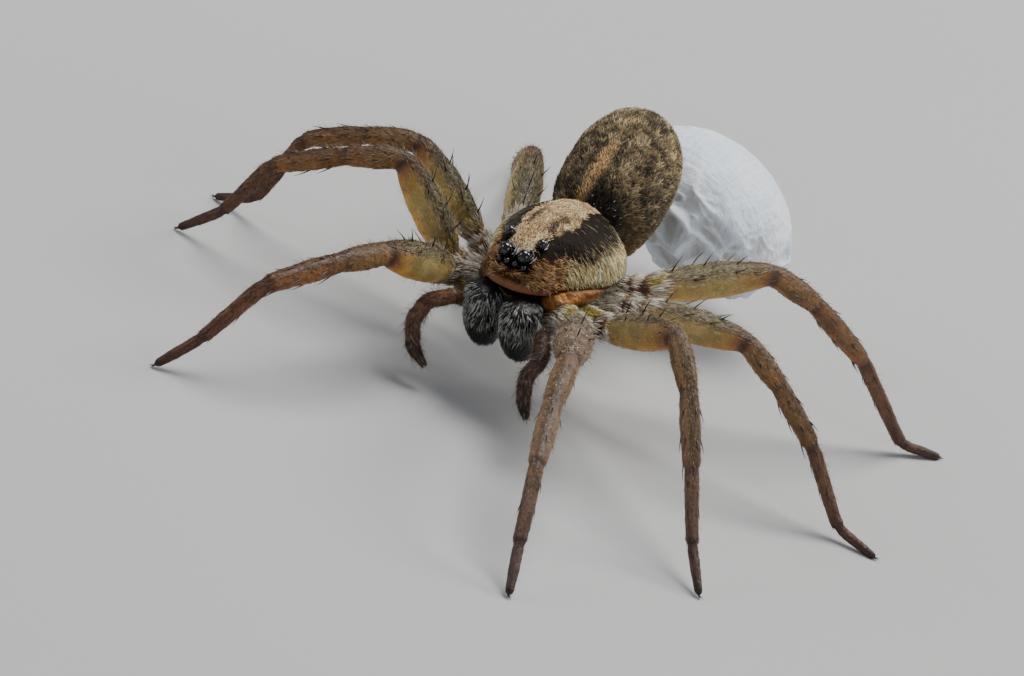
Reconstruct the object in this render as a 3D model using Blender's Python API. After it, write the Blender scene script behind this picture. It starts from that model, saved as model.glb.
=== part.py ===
"""A wolf spider: a female standing on eight legs, with her egg sac on her spinnerets.

Metres, +Z up. The head points along -Y and the spider's own left side is +X. The
feet stand on z = 0, and the origin is under the middle of the bounding box.
Sizes below are in millimetres, and include the short coat of hair. Places on the
body are in its own axes: +X left, +Y rear, +Z up, from the middle of the head shield.
"""

import math

import bmesh
import bpy
from mathutils import Matrix, Vector

MM = 0.001
GAP = 0.06  # left between solids that meet

# The body, as it is held over the floor.
BODY_HEIGHT = 4.13
BODY_PITCH = 3.5  # degrees, rear end up
BODY_ROLL = -8.9  # degrees, left side up

# The carapace, the shield over the head and thorax. Its rim is at height 0.
CARAPACE_FRONT = -2.88
CARAPACE_LENGTH = 5.92
CARAPACE_HALF_WIDTH = 2.20
HEAD_HALF_WIDTH = 1.42
CARAPACE_HEIGHT = 1.95
CARAPACE_DEPTH = 0.12  # below the rim
CARAPACE_RIDGE = 0.17  # how much its rear half narrows towards the top
CLYPEUS_EDGE = 0.12  # how far the rim rises over the jaws

# The sternum, the plug between the hips.
STERNUM_HALF = (1.10, 1.95)
STERNUM_MIDDLE = 0.10
STERNUM_TOP = -0.18
STERNUM_BOTTOM = -1.45

# The abdomen: an egg that rises from the pedicel, the narrow waist, and turns right.
ABDOMEN_HALF = (1.87, 3.00, 1.83)
ABDOMEN_MIDDLE = (-0.93, 5.88, 1.02)
ABDOMEN_BELLY = 2.27  # how far its front half hangs below the middle
ABDOMEN_BLUNTNESS = (3.1, 2.3)  # of its front and rear ends; 2 is round
ABDOMEN_YAW = 11.2
ABDOMEN_PITCH = 20.0
PEDICEL_RADIUS = 0.36
PEDICEL_START = (-0.05, 3.20, -0.42)
SPINNERET_ROOTS = ((0.15, 2.44, -0.51), (0.22, 2.14, -0.81))  # inside the abdomen
SPINNERET_SUNK = 0.35
SPINNERET_LENGTH = 0.36
SPINNERET_RADIUS = 0.16

# The egg sac, a flattened ball with a seam round its middle, held clear of the floor.
SAC_HALF = (3.26, 3.10, 2.34)
SAC_MIDDLE = (0.42, 10.98, 3.84)
SAC_PITCH = -10.0
SAC_ROLL = 18.0
SAC_SEAM = 0.05

# The jaws and their fangs.
JAW_SPACING = 0.66  # from the middle of the face to the middle of a jaw
JAW_LEAN = 0.26  # the tips stand this far to the left of the roots
JAW_TOP = -0.10
JAW_LENGTH = 2.14
JAW_HALF_WIDTH = 0.63
JAW_HALF_DEPTH = 0.77
JAW_MIDDLE = -2.65
FANG_REACH = 0.34
FANG_RADIUS = 0.13
FANG_BEHIND = 0.73  # from the middle of a jaw back to its fang
FANG_DOWN = 0.80  # the share of the jaw's length at which the fang starts

# Eyes: (sideways, forward, up, radius) for the left eye of each pair.
EYES = {
    "front_middle": (0.145, -2.81, 0.895, 0.100),
    "front_side": (0.430, -2.75, 0.850, 0.092),
    "rear_middle": (0.335, -2.71, 1.20, 0.220),
    "rear_side": (0.580, -2.15, 1.57, 0.165),
}
SOCKET_CLEARANCE = 0.02

# Where the legs start, on the left: beside the sternum, and at the root of the femur.
COXA_STARTS = {
    1: (1.02, -1.42, -0.90),
    2: (1.25, -0.42, -1.00),
    3: (1.25, 0.62, -1.00),
    4: (0.98, 1.62, -0.90),
}
HIPS = {
    1: (2.39, -2.03, -0.58),
    2: (2.93, -0.92, -0.77),
    3: (3.03, 0.78, -0.53),
    4: (2.38, 2.08, -0.47),
}
# Lengths of femur, patella, tibia, metatarsus and tarsus.
SEGMENTS = {
    1: (3.90, 2.06, 2.81, 2.53, 1.72),
    2: (3.67, 1.84, 2.42, 2.30, 1.71),
    3: (3.57, 1.73, 2.22, 2.83, 1.58),
    4: (4.37, 1.99, 3.19, 4.19, 1.90),
}
# The stance of each leg, in degrees: its heading from +X towards +Y, the rise of
# its first four segments, and the turn to the side at the tibia and metatarsus.
STANCES = {
    ("left", 1): (-68.2, (8.7, -17.5, -16.8, -45.0), (4.2, 9.1)),
    ("left", 2): (-31.6, (30.1, -31.5, -46.2, -51.1), (-0.5, 2.0)),
    ("left", 3): (15.4, (9.9, -29.3, -37.6, -49.1), (-1.9, -1.1)),
    ("left", 4): (45.7, (21.5, -20.5, -33.0, -44.4), (5.9, 4.0)),
    ("right", 1): (-101.1, (15.9, -2.2, -16.7, -55.4), (-10.5, -8.2)),
    ("right", 2): (-158.5, (43.9, -23.1, -31.6, -68.7), (1.1, -0.2)),
    ("right", 3): (193.1, (35.4, -19.9, -31.8, -74.9), (-4.2, -5.1)),
    ("right", 4): (116.9, (13.0, -32.0, -30.0, -18.5), (-6.1, 0.0)),
}
LEG_STOUTNESS = {1: 1.08, 2: 1.00, 3: 0.98, 4: 1.04}
CORNER = 0.42  # how far a bend at a joint reaches along its segments
FOOT_HEIGHT = 0.05  # of the middle of a foot's tip over the floor
# Radii at the start, in between and at the end of each segment.
COXA_RADII = (0.43, 0.50, 0.44)
FEMUR_RADII = (0.44, 0.64, 0.61, 0.42)
PATELLA_RADII = (0.41, 0.41, 0.38)
TIBIA_RADII = (0.38, 0.36, 0.32)
METATARSUS_RADII = (0.31, 0.28, 0.26)
TARSUS_RADII = (0.265, 0.25, 0.20)
FOOT_TIP_RADIUS = 0.17

# The palps, the two feelers beside the jaws: places from root to tip.
PALPS = {
    "right": (
        (-1.38, -2.42, -1.20), (-1.48, -3.04, -0.82), (-2.12, -3.60, -1.11),
        (-2.22, -4.13, -1.68), (-1.86, -4.42, -2.42), (-1.40, -4.32, -2.86),
    ),
    "left": (
        (1.56, -2.42, -1.20), (1.76, -3.10, -0.90), (2.34, -4.02, -1.12),
        (2.24, -4.62, -1.62), (2.40, -4.80, -2.28), (2.66, -4.84, -2.80),
    ),
}
PALP_RADII = (0.22, 0.29, 0.29, 0.28, 0.27, 0.16)
PALP_KNEE = 3  # the point of its rounded path just before the knee

FLOOR_BLOCK = 60.0
SHARES = (0.0, 0.25, 0.5, 0.75, 1.0)

# Colour, roughness.
FINISHES = {
    "carapace": ((0.20, 0.13, 0.07), 0.55),
    "sternum": ((0.13, 0.08, 0.04), 0.65),
    "abdomen": ((0.085, 0.060, 0.036), 0.85),
    "egg_sac": ((0.78, 0.83, 0.88), 0.70),
    "jaw": ((0.012, 0.009, 0.008), 0.35),
    "fang": ((0.020, 0.006, 0.004), 0.20),
    "eye": ((0.004, 0.004, 0.005), 0.05),
    "coxa": ((0.24, 0.18, 0.11), 0.70),
    "femur": ((0.22, 0.17, 0.07), 0.55),
    "patella_tibia": ((0.15, 0.09, 0.045), 0.60),
    "metatarsus": ((0.11, 0.055, 0.032), 0.65),
    "tarsus": ((0.085, 0.040, 0.026), 0.70),
    "palp": ((0.12, 0.065, 0.035), 0.65),
}


def body_place():
    """The body's own axes, seen from the floor, in millimetres."""
    lift = Matrix.Translation((0.0, 0.0, BODY_HEIGHT))
    pitch = Matrix.Rotation(math.radians(BODY_PITCH), 4, "X")
    roll = Matrix.Rotation(math.radians(BODY_ROLL), 4, "Y")
    return lift @ pitch @ roll


BODY = body_place()


# --- Scene set-up ---------------------------------------------------------------


def clear_scene():
    for obj in list(bpy.data.objects):
        bpy.data.objects.remove(obj, do_unlink=True)


def new_collection(name):
    collection = bpy.data.collections.new(name)
    bpy.context.scene.collection.children.link(collection)
    return collection


def new_material(name, colour, roughness):
    material = bpy.data.materials.new(name)
    material.use_nodes = True
    shader = material.node_tree.nodes["Principled BSDF"]
    shader.inputs["Base Color"].default_value = (*colour, 1.0)
    shader.inputs["Roughness"].default_value = roughness
    shader.inputs["Metallic"].default_value = 0.0
    material.diffuse_color = (*colour, 1.0)
    return material


clear_scene()
PARTS = new_collection("wolf_spider")
CUTTERS = new_collection("cutters")
MATERIALS = {name: new_material(name, *finish) for name, finish in FINISHES.items()}
ROOT = bpy.data.objects.new("wolf_spider_root", None)
PARTS.objects.link(ROOT)
ROOT.empty_display_size = 2 * MM


def add_part(name, data, finish):
    """Puts a mesh or curve in the scene as one named part."""
    data.materials.append(MATERIALS[finish])
    obj = bpy.data.objects.new(name, data)
    PARTS.objects.link(obj)
    obj.parent = ROOT
    return obj


def add_cutter(name, data):
    """A helper that a Boolean modifier takes away from a part."""
    obj = bpy.data.objects.new(name, data)
    CUTTERS.objects.link(obj)
    obj.parent = ROOT
    obj.hide_render = True
    obj.display_type = "WIRE"
    return obj


def cut(obj, cutter, operation="DIFFERENCE"):
    modifier = obj.modifiers.new(cutter.name, "BOOLEAN")
    modifier.operation = operation
    modifier.solver = "EXACT"
    modifier.object = cutter


# --- Shapes ---------------------------------------------------------------------


def mesh_from(bm, name):
    """Turns shapes made in millimetres into a mesh in metres."""
    bm.normal_update()
    bmesh.ops.recalc_face_normals(bm, faces=bm.faces)
    bm.transform(Matrix.Scale(MM, 4))
    mesh = bpy.data.meshes.new(name)
    bm.to_mesh(mesh)
    bm.free()
    mesh.shade_smooth()
    return mesh


def shaped_ball(name, around, along, shape, place=BODY):
    """A sphere reshaped by shape(station, angle), which gives a point in millimetres.

    The station runs from -1 to 1 between the poles, and the angle goes round them.
    """
    bm = bmesh.new()
    bmesh.ops.create_uvsphere(bm, u_segments=around, v_segments=along, radius=1.0)
    for vert in bm.verts:
        station = max(-1.0, min(1.0, vert.co.z))
        angle = math.atan2(vert.co.y, vert.co.x)
        vert.co = place @ Vector(shape(station, angle))
    return mesh_from(bm, name)


def plain_balls(name, centres_and_radii, around=10, along=6):
    """Spheres in one mesh, in the body's axes."""
    bm = bmesh.new()
    for centre, radius in centres_and_radii:
        place = Matrix.Translation(BODY @ Vector(centre)) @ Matrix.Rotation(math.pi / 2, 4, "X")
        bmesh.ops.create_uvsphere(
            bm, u_segments=around, v_segments=along, radius=radius, matrix=place
        )
    return mesh_from(bm, name)


def tube_curve(name, points, radii, sides):
    """A closed tube through points in millimetres above the floor."""
    thickest = max(radii)
    curve = bpy.data.curves.new(name, "CURVE")
    curve.dimensions = "3D"
    curve.fill_mode = "FULL"
    curve.bevel_depth = thickest * MM
    curve.bevel_resolution = (sides - 4) // 2
    curve.use_fill_caps = True
    spline = curve.splines.new("POLY")
    spline.points.add(len(points) - 1)
    for control, point, radius in zip(spline.points, points, radii):
        control.co = (*(point * MM), 1.0)
        control.radius = radius / thickest
    spline.use_smooth = True
    return curve


def tube_mesh(name, points, radii, sides):
    """The same tube as a mesh with its caps welded on, for cutting and joining."""
    curve = tube_curve(name, points, radii, sides)
    holder = bpy.data.objects.new(name, curve)
    bpy.context.scene.collection.objects.link(holder)
    bpy.context.view_layer.update()
    graph = bpy.context.evaluated_depsgraph_get()
    mesh = bpy.data.meshes.new_from_object(holder.evaluated_get(graph))
    bpy.data.objects.remove(holder, do_unlink=True)
    bpy.data.curves.remove(curve)
    bm = bmesh.new()
    bm.from_mesh(mesh)
    bpy.data.meshes.remove(mesh)
    bm.transform(Matrix.Scale(1.0 / MM, 4))
    bmesh.ops.remove_doubles(bm, verts=bm.verts, dist=0.0001)
    return mesh_from(bm, name)


def smooth_step(start, end, value):
    share = max(0.0, min(1.0, (value - start) / (end - start)))
    return share * share * (3.0 - 2.0 * share)


# --- Head and thorax ------------------------------------------------------------


def carapace_point(station, angle):
    """The shield: blunt and steep in front, widest in the middle, sloping behind."""
    y = CARAPACE_FRONT + (station + 1.0) / 2.0 * CARAPACE_LENGTH
    reach = abs(station)
    swell = smooth_step(-2.0, 0.5, y)
    half_width = HEAD_HALF_WIDTH + (CARAPACE_HALF_WIDTH - HEAD_HALF_WIDTH) * swell
    if station < 0.0:
        half_width *= (1.0 - reach**5.0) ** 0.40
        height = CARAPACE_HEIGHT * (1.0 - reach**3.2) ** 0.42
    else:
        half_width *= (1.0 - reach**2.4) ** 0.50
        height = CARAPACE_HEIGHT * (1.0 - reach**2.7) ** 0.75
    rim = CLYPEUS_EDGE * smooth_step(-1.6, -2.8, y)
    side = math.cos(angle)
    up = math.sin(angle)
    if reach > 0.9999:
        return (0.0, y, rim + (0.42 if station < 0.0 else 0.05))
    if up >= 0.0:
        z = rim + (height - rim * reach) * up
        half_width *= 1.0 - CARAPACE_RIDGE * up * smooth_step(-1.4, 0.8, y)
    else:
        z = rim - CARAPACE_DEPTH * math.sqrt(-up)
    return (half_width * side, y, z)


def sternum_point(station, angle):
    """The plug between the hips: an oval with a flat top and a low keel."""
    ring = (1.0 - station**2) ** 0.5
    x = STERNUM_HALF[0] * ring * math.cos(angle)
    y = STERNUM_MIDDLE + STERNUM_HALF[1] * station
    middle = (STERNUM_TOP + STERNUM_BOTTOM) / 2.0
    half = (STERNUM_TOP - STERNUM_BOTTOM) / 2.0
    z = middle + half * math.sin(angle) * (1.0 - station**4) ** 0.5
    return (x, y, z)


def jaw_shape(side):
    """A stout jaw that bulges forward under the face and narrows to its fang."""

    def point(station, angle):
        down = (station + 1.0) / 2.0
        ring = (1.0 - abs(station) ** 4.4) ** 0.5
        taper = 1.0 - 0.12 * down**2
        bulge = 0.20 * math.sin(math.pi * min(1.0, down * 1.2))
        x = side * JAW_SPACING + JAW_LEAN * down
        x += JAW_HALF_WIDTH * taper * ring * math.cos(angle)
        y = JAW_MIDDLE - bulge + JAW_HALF_DEPTH * taper * ring * math.sin(angle)
        return (x, y, JAW_TOP - JAW_LENGTH * down)

    return point


def fang_points(side):
    """The fang's middle line: an arc folded inwards behind the jaw's lower end."""
    middle = side * JAW_SPACING + JAW_LEAN
    places = []
    for share in SHARES:
        turn = math.pi * (0.15 + 0.70 * share)
        x = middle + side * FANG_REACH * math.cos(turn)
        y = JAW_MIDDLE + FANG_BEHIND
        z = JAW_TOP - JAW_LENGTH * FANG_DOWN - 0.22 * math.sin(turn)
        places.append(BODY @ Vector((x, y, z)))
    return places


def eye_places():
    """(name, centre, radius) of all eyes."""
    for pair, (x, y, z, radius) in EYES.items():
        yield f"eye_{pair}_left", (x, y, z), radius
        yield f"eye_{pair}_right", (-x, y, z), radius


def build_head():
    carapace = add_part("carapace", shaped_ball("carapace", 26, 16, carapace_point), "carapace")
    sockets = [(centre, radius + SOCKET_CLEARANCE) for _, centre, radius in eye_places()]
    cut(carapace, add_cutter("eye_sockets", plain_balls("eye_sockets", sockets)))
    for name, centre, radius in eye_places():
        add_part(name, plain_balls(name, [(centre, radius)]), "eye")
    add_part("sternum", shaped_ball("sternum", 16, 10, sternum_point), "sternum")
    for label, side in (("left", 1.0), ("right", -1.0)):
        jaw = shaped_ball("jaw", 14, 10, jaw_shape(side))
        add_part(f"chelicera_{label}", jaw, "jaw")
        radii = [FANG_RADIUS * (1.0 - 0.6 * share) for share in SHARES]
        fang = tube_curve("fang", fang_points(side), radii, 8)
        add_part(f"fang_{label}", fang, "fang")


# --- Abdomen and egg sac --------------------------------------------------------


def abdomen_place():
    yaw = Matrix.Rotation(math.radians(ABDOMEN_YAW), 4, "Z")
    pitch = Matrix.Rotation(math.radians(ABDOMEN_PITCH), 4, "X")
    return BODY @ Matrix.Translation(ABDOMEN_MIDDLE) @ yaw @ pitch


def abdomen_point(station, angle):
    """An egg on its side, with a blunt front and a full belly."""
    bluntness = ABDOMEN_BLUNTNESS[0] if station < 0.0 else ABDOMEN_BLUNTNESS[1]
    ring = (1.0 - abs(station) ** bluntness) ** 0.5
    height = ABDOMEN_HALF[2]
    if angle < 0.0:
        height += (ABDOMEN_BELLY - height) * smooth_step(0.6, -0.2, station)
    x = ABDOMEN_HALF[0] * ring * math.cos(angle)
    z = height * ring * math.sin(angle)
    return (x, ABDOMEN_HALF[1] * station, z)


def spinneret_tubes(place):
    """Four short cones under the abdomen's rear end, pointing at the egg sac."""
    for side in (-1.0, 1.0):
        aim = Vector((side * 0.04, 0.62, -0.42)).normalized()
        for across, along, height in SPINNERET_ROOTS:
            root = Vector((side * across, along, height))
            tip = root + aim * (SPINNERET_SUNK + SPINNERET_LENGTH)
            points = [place @ root, place @ root.lerp(tip, 0.5), place @ tip]
            radii = [SPINNERET_RADIUS, SPINNERET_RADIUS * 0.9, SPINNERET_RADIUS * 0.55]
            yield tube_mesh("spinneret", points, radii, 8)


def build_abdomen():
    place = abdomen_place()
    abdomen = add_part("abdomen", shaped_ball("abdomen", 22, 16, abdomen_point, place), "abdomen")
    inside = place @ Vector((0.0, -ABDOMEN_HALF[1] * 0.7, -0.3))
    start = BODY @ Vector(PEDICEL_START)
    waist = tube_mesh("pedicel", [start, start.lerp(inside, 0.5), inside],
                      [PEDICEL_RADIUS * 0.85, PEDICEL_RADIUS, PEDICEL_RADIUS], 8)
    cut(abdomen, add_cutter("pedicel", waist), "UNION")
    for number, mesh in enumerate(spinneret_tubes(place), start=1):
        cut(abdomen, add_cutter(f"spinneret_{number}", mesh), "UNION")


def sac_point(station, angle):
    """A flattened ball with a slight raised seam round its middle."""
    ring = (1.0 - station**2) ** 0.5
    seam = 1.0 + SAC_SEAM / SAC_HALF[0] * math.exp(-((station / 0.06) ** 2))
    x = SAC_HALF[0] * ring * seam * math.cos(angle)
    y = SAC_HALF[1] * ring * seam * math.sin(angle)
    return (x, y, SAC_HALF[2] * station)


def build_egg_sac():
    pitch = Matrix.Rotation(math.radians(SAC_PITCH), 4, "X")
    roll = Matrix.Rotation(math.radians(SAC_ROLL), 4, "Y")
    place = Matrix.Translation(SAC_MIDDLE) @ pitch @ roll
    add_part("egg_sac", shaped_ball("egg_sac", 26, 16, sac_point, place), "egg_sac")


# --- Legs and palps -------------------------------------------------------------


def direction(heading, rise):
    """A unit vector from a heading and a rise in degrees."""
    heading = math.radians(heading)
    rise = math.radians(rise)
    flat = math.cos(rise)
    return Vector((flat * math.cos(heading), flat * math.sin(heading), math.sin(rise)))


def leg_joints(label, number):
    """The leg's joint centres, from the sternum to the tip of the foot."""
    side = 1.0 if label == "left" else -1.0
    mirror = Vector((side, 1.0, 1.0))
    joints = [BODY @ (Vector(COXA_STARTS[number]) * mirror), BODY @ (Vector(HIPS[number]) * mirror)]
    heading, rises, (tibia_turn, metatarsus_turn) = STANCES[label, number]
    turns = (0.0, 0.0, tibia_turn, tibia_turn + metatarsus_turn)
    lengths = SEGMENTS[number]
    for length, rise, turn in zip(lengths, rises, turns):
        joints.append(joints[-1] + length * direction(heading + turn, rise))
    ankle = joints[-1]
    fall = math.degrees(math.asin((ankle.z - FOOT_HEIGHT) / lengths[4]))
    joints.append(ankle + lengths[4] * direction(heading + turns[3], -fall))
    return joints


def corner(joints, index):
    """(before, middle, after, tangent) of the rounded bend at one joint."""
    joint = joints[index]
    back = (joints[index - 1] - joint).normalized()
    ahead = (joints[index + 1] - joint).normalized()
    before = joint + back * CORNER
    after = joint + ahead * CORNER
    middle = (before + 2.0 * joint + after) / 4.0
    return before, middle, after, (ahead - back).normalized()


def segment_points(joints, index, shares):
    """Points from one bend's middle to the next, square to the bends at both ends."""
    start = joints[index]
    end = joints[index + 1]
    points = []
    if index == 0:
        points.append(start)
    else:
        _, middle, after, tangent = corner(joints, index)
        points += [middle + tangent * GAP / 2.0, middle + tangent * (GAP / 2.0 + 0.06), after]
    points += [start.lerp(end, share) for share in shares]
    if index == len(joints) - 2:
        points += [end - (end - start).normalized() * 0.10, end]
    else:
        before, middle, _, tangent = corner(joints, index + 1)
        points += [before, middle - tangent * (GAP / 2.0 + 0.06), middle - tangent * GAP / 2.0]
    return points


def spread(points, radii):
    """Radii at the points, from values evenly spaced along their path."""
    lengths = [0.0]
    for first, second in zip(points, points[1:]):
        lengths.append(lengths[-1] + (second - first).length)
    values = []
    for length in lengths:
        place = length / lengths[-1] * (len(radii) - 1)
        step = min(int(place), len(radii) - 2)
        values.append(radii[step] + (radii[step + 1] - radii[step]) * (place - step))
    return values


def build_leg(label, number, floor):
    joints = leg_joints(label, number)
    stout = LEG_STOUTNESS[number]

    def add_segment(kind, points, radii, sides=8):
        scaled = [radius * stout for radius in spread(points, radii)]
        curve = tube_curve(kind, points, scaled, sides)
        return add_part(f"leg_{label}_{number}_{kind}", curve, kind)

    add_segment("coxa", segment_points(joints, 0, (0.35,)), COXA_RADII, 10)
    add_segment("femur", segment_points(joints, 1, (0.33, 0.66)), FEMUR_RADII, 10)
    knee = segment_points(joints, 2, (0.5,))
    shin = segment_points(joints, 3, (0.5,))
    points = knee[:-2] + shin[2:]
    radii = spread(knee[:-2], PATELLA_RADII) + spread(shin[2:], TIBIA_RADII)
    curve = tube_curve("tibia", points, [radius * stout for radius in radii], 8)
    add_part(f"leg_{label}_{number}_patella_tibia", curve, "patella_tibia")
    add_segment("metatarsus", segment_points(joints, 4, (0.5,)), METATARSUS_RADII)
    points = segment_points(joints, 5, (0.5,))
    radii = spread(points, TARSUS_RADII)
    radii[-1] = FOOT_TIP_RADIUS
    tarsus = tube_mesh("tarsus", points, radii, 8)
    foot = add_part(f"leg_{label}_{number}_tarsus", tarsus, "tarsus")
    cut(foot, floor)


def rounded(points):
    """The same path with each inner corner cut into two softer ones."""
    path = [points[0]]
    for before, here, after in zip(points, points[1:], points[2:]):
        path += [here.lerp(before, 0.25), here.lerp(after, 0.25)]
    return path + [points[-1]]


def build_palp(label):
    places = [BODY @ Vector(place) for place in PALPS[label]]
    path = rounded(places)
    radii = spread(path, PALP_RADII)
    first, second = path[PALP_KNEE], path[PALP_KNEE + 1]
    step = (second - first).normalized() * GAP / 2.0
    middle = first.lerp(second, 0.5)
    knee = [radii[PALP_KNEE]]
    upper = path[: PALP_KNEE + 1] + [middle - step]
    lower = [middle + step] + path[PALP_KNEE + 1 :]
    upper = tube_curve("palp", upper, radii[: PALP_KNEE + 1] + knee, 8)
    lower = tube_curve("palp", lower, knee + radii[PALP_KNEE + 1 :], 8)
    add_part(f"palp_{label}_femur", upper, "palp")
    add_part(f"palp_{label}_tarsus", lower, "palp")


def floor_block():
    """A block whose top is the floor, to cut the feet flat."""
    bm = bmesh.new()
    middle = Matrix.Translation((0.0, 0.0, -FLOOR_BLOCK / 2.0))
    bmesh.ops.create_cube(bm, size=FLOOR_BLOCK, matrix=middle)
    return add_cutter("floor_block", mesh_from(bm, "floor_block"))


# --- Assembly -------------------------------------------------------------------


def centre_over_origin():
    """Moves the whole spider so that the origin is under its bounding box's middle."""
    bpy.context.view_layer.update()
    graph = bpy.context.evaluated_depsgraph_get()
    corners = []
    for obj in PARTS.objects:
        if obj.type == "EMPTY":
            continue
        shaped = obj.evaluated_get(graph)
        mesh = shaped.to_mesh()
        corners += [shaped.matrix_world @ vert.co for vert in mesh.vertices]
        shaped.to_mesh_clear()
    for axis in (0, 1):
        values = [corner_point[axis] for corner_point in corners]
        ROOT.location[axis] = -(min(values) + max(values)) / 2.0


build_head()
build_abdomen()
build_egg_sac()
FLOOR = floor_block()
for leg_label, leg_number in STANCES:
    build_leg(leg_label, leg_number, FLOOR)
for palp_label in PALPS:
    build_palp(palp_label)
centre_over_origin()
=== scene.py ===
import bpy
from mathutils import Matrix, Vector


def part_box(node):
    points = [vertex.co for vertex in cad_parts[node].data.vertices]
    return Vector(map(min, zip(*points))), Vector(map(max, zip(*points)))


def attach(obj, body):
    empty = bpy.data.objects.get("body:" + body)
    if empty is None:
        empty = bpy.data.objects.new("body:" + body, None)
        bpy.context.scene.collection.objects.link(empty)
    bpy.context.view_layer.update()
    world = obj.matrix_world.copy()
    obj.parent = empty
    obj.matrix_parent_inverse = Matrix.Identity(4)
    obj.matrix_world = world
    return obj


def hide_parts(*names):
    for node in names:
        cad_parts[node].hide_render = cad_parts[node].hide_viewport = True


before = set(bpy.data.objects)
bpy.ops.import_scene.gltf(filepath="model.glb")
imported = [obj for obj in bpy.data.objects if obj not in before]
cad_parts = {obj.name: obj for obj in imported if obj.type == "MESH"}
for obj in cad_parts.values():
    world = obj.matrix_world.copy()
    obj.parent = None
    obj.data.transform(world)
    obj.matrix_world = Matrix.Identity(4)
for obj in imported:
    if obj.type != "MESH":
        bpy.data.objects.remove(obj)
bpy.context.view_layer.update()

# The wolf spider, dressed: skin, coat, eyes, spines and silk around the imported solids.

import math

import bpy
import numpy as np
from mathutils import Matrix

MM = 0.001
TURN = 2.0 * math.pi
SIDES = {"left": 1.0, "right": -1.0}  # the sign of x

# The body over the floor, and its shapes, as the solids have them (millimetres, degrees).
BODY_HEIGHT, BODY_PITCH, BODY_ROLL = 4.13, 3.5, -8.9
CARAPACE_FRONT, CARAPACE_LENGTH = -2.88, 5.92
CARAPACE_HALF_WIDTH, HEAD_HALF_WIDTH = 2.20, 1.42
CARAPACE_HEIGHT, CARAPACE_DEPTH, CARAPACE_RIDGE, CLYPEUS_EDGE = 1.95, 0.12, 0.17, 0.12
CARAPACE_EDGE = 0.07
PLAN_FRONT, PLAN_REAR = (5.0, 0.40), (2.4, 0.50)  # how round the ends are, seen from above
RISE_FRONT, RISE_REAR = (3.2, 0.42), (2.7, 0.75)  # and seen from the side
STERNUM_MIDDLE, STERNUM_BOTTOM = 0.10, -1.45
ABDOMEN_HALF, ABDOMEN_MIDDLE = (1.87, 3.00, 1.83), (-0.93, 5.88, 1.02)
ABDOMEN_BELLY, ABDOMEN_BLUNTNESS = 2.27, (3.1, 2.3)
ABDOMEN_YAW, ABDOMEN_PITCH = 11.2, 20.0
PEDICEL_START, PEDICEL_RADIUS = (-0.05, 3.20, -0.42), 0.30
SPINNERET_ROOTS = ((0.15, 2.44, -0.51), (0.22, 2.14, -0.81))
SPINNERET_LENGTH, SPINNERET_RADIUS = 0.68, 0.15
SAC_HALF, SAC_MIDDLE = (3.26, 3.10, 2.34), (0.42, 10.98, 3.84)
SAC_PITCH, SAC_ROLL = -10.0, 18.0
JAW_SPACING, JAW_LEAN, JAW_TOP, JAW_LENGTH = 0.66, 0.26, -0.10, 2.14
JAW_HALF_WIDTH, JAW_HALF_DEPTH, JAW_MIDDLE = 0.63, 0.77, -2.65
JAW_BLUNTNESS, JAW_TAPER, JAW_BULGE = 4.4, 0.12, 0.20
FANG_REACH, FANG_RADIUS, FANG_BEHIND, FANG_DOWN, FANG_SAG = 0.34, 0.11, 0.73, 0.80, 0.22
EYE_PAIRS = ("front_middle", "front_side", "rear_middle", "rear_side")
COXA_STARTS = {1: (1.02, -1.42, -0.90), 2: (1.25, -0.42, -1.00),
               3: (1.25, 0.62, -1.00), 4: (0.98, 1.62, -0.90)}
HIPS = {1: (2.39, -2.03, -0.58), 2: (2.93, -0.92, -0.77),
        3: (3.03, 0.78, -0.53), 4: (2.38, 2.08, -0.47)}
# Femur, patella, tibia, metatarsus and tarsus.
SEGMENTS = {1: (3.90, 2.06, 2.81, 2.53, 1.72), 2: (3.67, 1.84, 2.42, 2.30, 1.71),
            3: (3.57, 1.73, 2.22, 2.83, 1.58), 4: (4.37, 1.99, 3.19, 4.19, 1.90)}
# Heading of the femur, rises of four segments, and turns at the tibia and the metatarsus.
STANCES = {
    ("left", 1): (-68.2, (8.7, -17.5, -16.8, -45.0), (4.2, 9.1)),
    ("left", 2): (-31.6, (30.1, -31.5, -46.2, -51.1), (-0.5, 2.0)),
    ("left", 3): (15.4, (9.9, -29.3, -37.6, -49.1), (-1.9, -1.1)),
    ("left", 4): (45.7, (21.5, -20.5, -33.0, -44.4), (5.9, 4.0)),
    ("right", 1): (-101.1, (15.9, -2.2, -16.7, -55.4), (-10.5, -8.2)),
    ("right", 2): (-158.5, (43.9, -23.1, -31.6, -68.7), (1.1, -0.2)),
    ("right", 3): (193.1, (35.4, -19.9, -31.8, -74.9), (-4.2, -5.1)),
    ("right", 4): (116.9, (13.0, -32.0, -30.0, -18.5), (-6.1, 0.0)),
}
LEG_STOUTNESS = {1: 1.08, 2: 1.00, 3: 0.98, 4: 1.04}
KNEE_CORNER, PALP_CORNER = 0.42, 0.24  # where a bend starts to round, before its joint
FOOT_HEIGHT = 0.05
PALPS = {
    "right": ((-1.38, -2.42, -1.20), (-1.48, -3.04, -0.82), (-2.12, -3.60, -1.11),
              (-2.22, -4.13, -1.68), (-1.86, -4.42, -2.42), (-1.40, -4.32, -2.86)),
    "left": ((1.56, -2.42, -1.20), (1.76, -3.10, -0.90), (2.34, -4.02, -1.12),
             (2.24, -4.62, -1.62), (2.40, -4.80, -2.28), (2.66, -4.84, -2.80)),
}

# How far the skins lie inside the solids, to leave room for hair.
CARAPACE_COAT, ABDOMEN_COAT, JAW_COAT = 0.05, 0.10, 0.05
FLOOR_GAP, SKIN_GAP, CLAW_GAP = 0.002, 0.004, 0.020  # how near the floor each may come

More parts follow.
